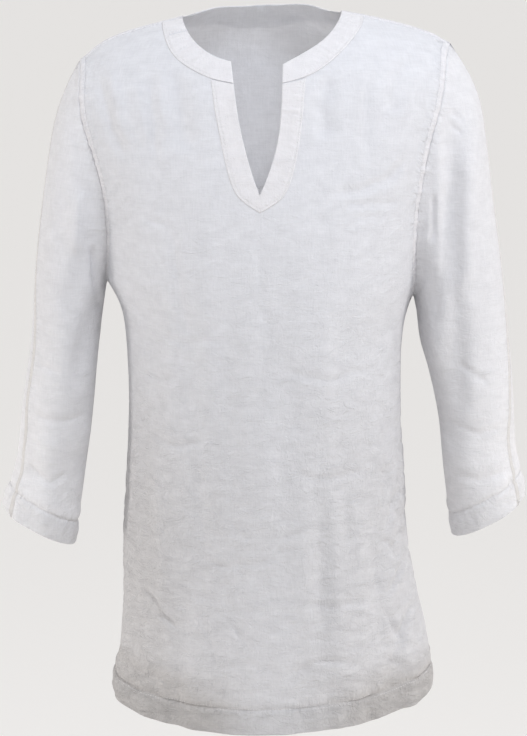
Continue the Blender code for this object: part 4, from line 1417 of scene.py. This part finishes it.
def turn_up(sheet_name, run, height):
    """Extrudes an edge of a sheet round a fold and back inside it, up to a height above the fold."""
    sheet = sheets[sheet_name]
    surface = surface_of(sheet_name)
    _, stations, _, intos, outs = follow_edge(sheet_name, run, STATION)
    points, _ = points_and_normals(sheet.data)
    nearest = tree_of([Vector(station) for station in stations])
    frames = {index: nearest.find(Vector(points[index]))[1] for index in run}
    bm = bmesh.new()
    bm.from_mesh(sheet.data)
    bm.verts.ensure_lookup_table()
    flat = bm.loops.layers.uv.active
    held = {}
    for index in run:
        vert = bm.verts[index]
        held[vert] = (vert.co.copy(), frames[index], vert.link_loops[0][flat].uv.copy())
    edges = [edge for edge in bm.edges if edge.is_boundary and all(vert in held for vert in edge.verts)]
    rows = [Turn(height * (row + 1) / TURNED_ROWS, TURNED_LAYER) for row in range(TURNED_ROWS)]
    for into_cloth, inwards in [*FOLD_STEPS, *rows]:
        ends = {vert for edge in edges for vert in edge.verts}
        made = bmesh.ops.extrude_edge_only(bm, edges=edges)["geom"]
        fresh = [item for item in made if isinstance(item, bmesh.types.BMVert)]
        edges = [item for item in made if isinstance(item, bmesh.types.BMEdge) and item.is_boundary]
        edges = [edge for edge in edges if all(vert in fresh for vert in edge.verts)]
        after = {}
        for vert in fresh:
            beside = [edge.other_vert(vert) for edge in vert.link_edges]
            start, frame_at, uv = held[next(source for source in beside if source in ends)]
            into, out = Vector(intos[frame_at]), Vector(outs[frame_at])
            spot = start + into * into_cloth
            if into_cloth > 0:
                spot, out, _, _ = surface.find_nearest(spot)
            vert.co = spot - out * inwards
            after[vert] = (start, frame_at, uv)
            for loop in vert.link_loops:
                loop[flat].uv = (uv.x, uv.y - abs(into_cloth) - 0.002)
        held = after
    bm.to_mesh(sheet.data)
    bm.free()
    print(sheet_name, "turned up, now has", len(sheet.data.polygons), "faces")


for line_name in HEMS + CUFFS:
    depth = HEM_DEPTH if line_name in HEMS else CUFF_DEPTH
    turn_up(*lines[line_name], depth - TURN_SHORT)

# %% [markdown]
# ## Thickness
# Last, every sheet gets its wall, inwards from the side that shows. One layer of this linen is under half a
# millimetre, and it is drawn a little thicker so that its edges catch the light.

# %% Thickness, and what each piece rides on and hangs from
LAYER = 0.0007

for cut in CUTS:
    piece = sheets[cut.name]
    wall = piece.modifiers.new("cloth", "SOLIDIFY")
    wall.thickness = LAYER
    wall.offset = -1.0
    wall.use_even_offset = False
    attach(piece, "root")
    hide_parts(cut.node)
    trims = fells.get(cut.name, []) + [stitches[cut.name]]
    for trim in trims:
        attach(trim, "root")
    print(cut.name, "stands for", cut.node, "with", len(trims), "trims")
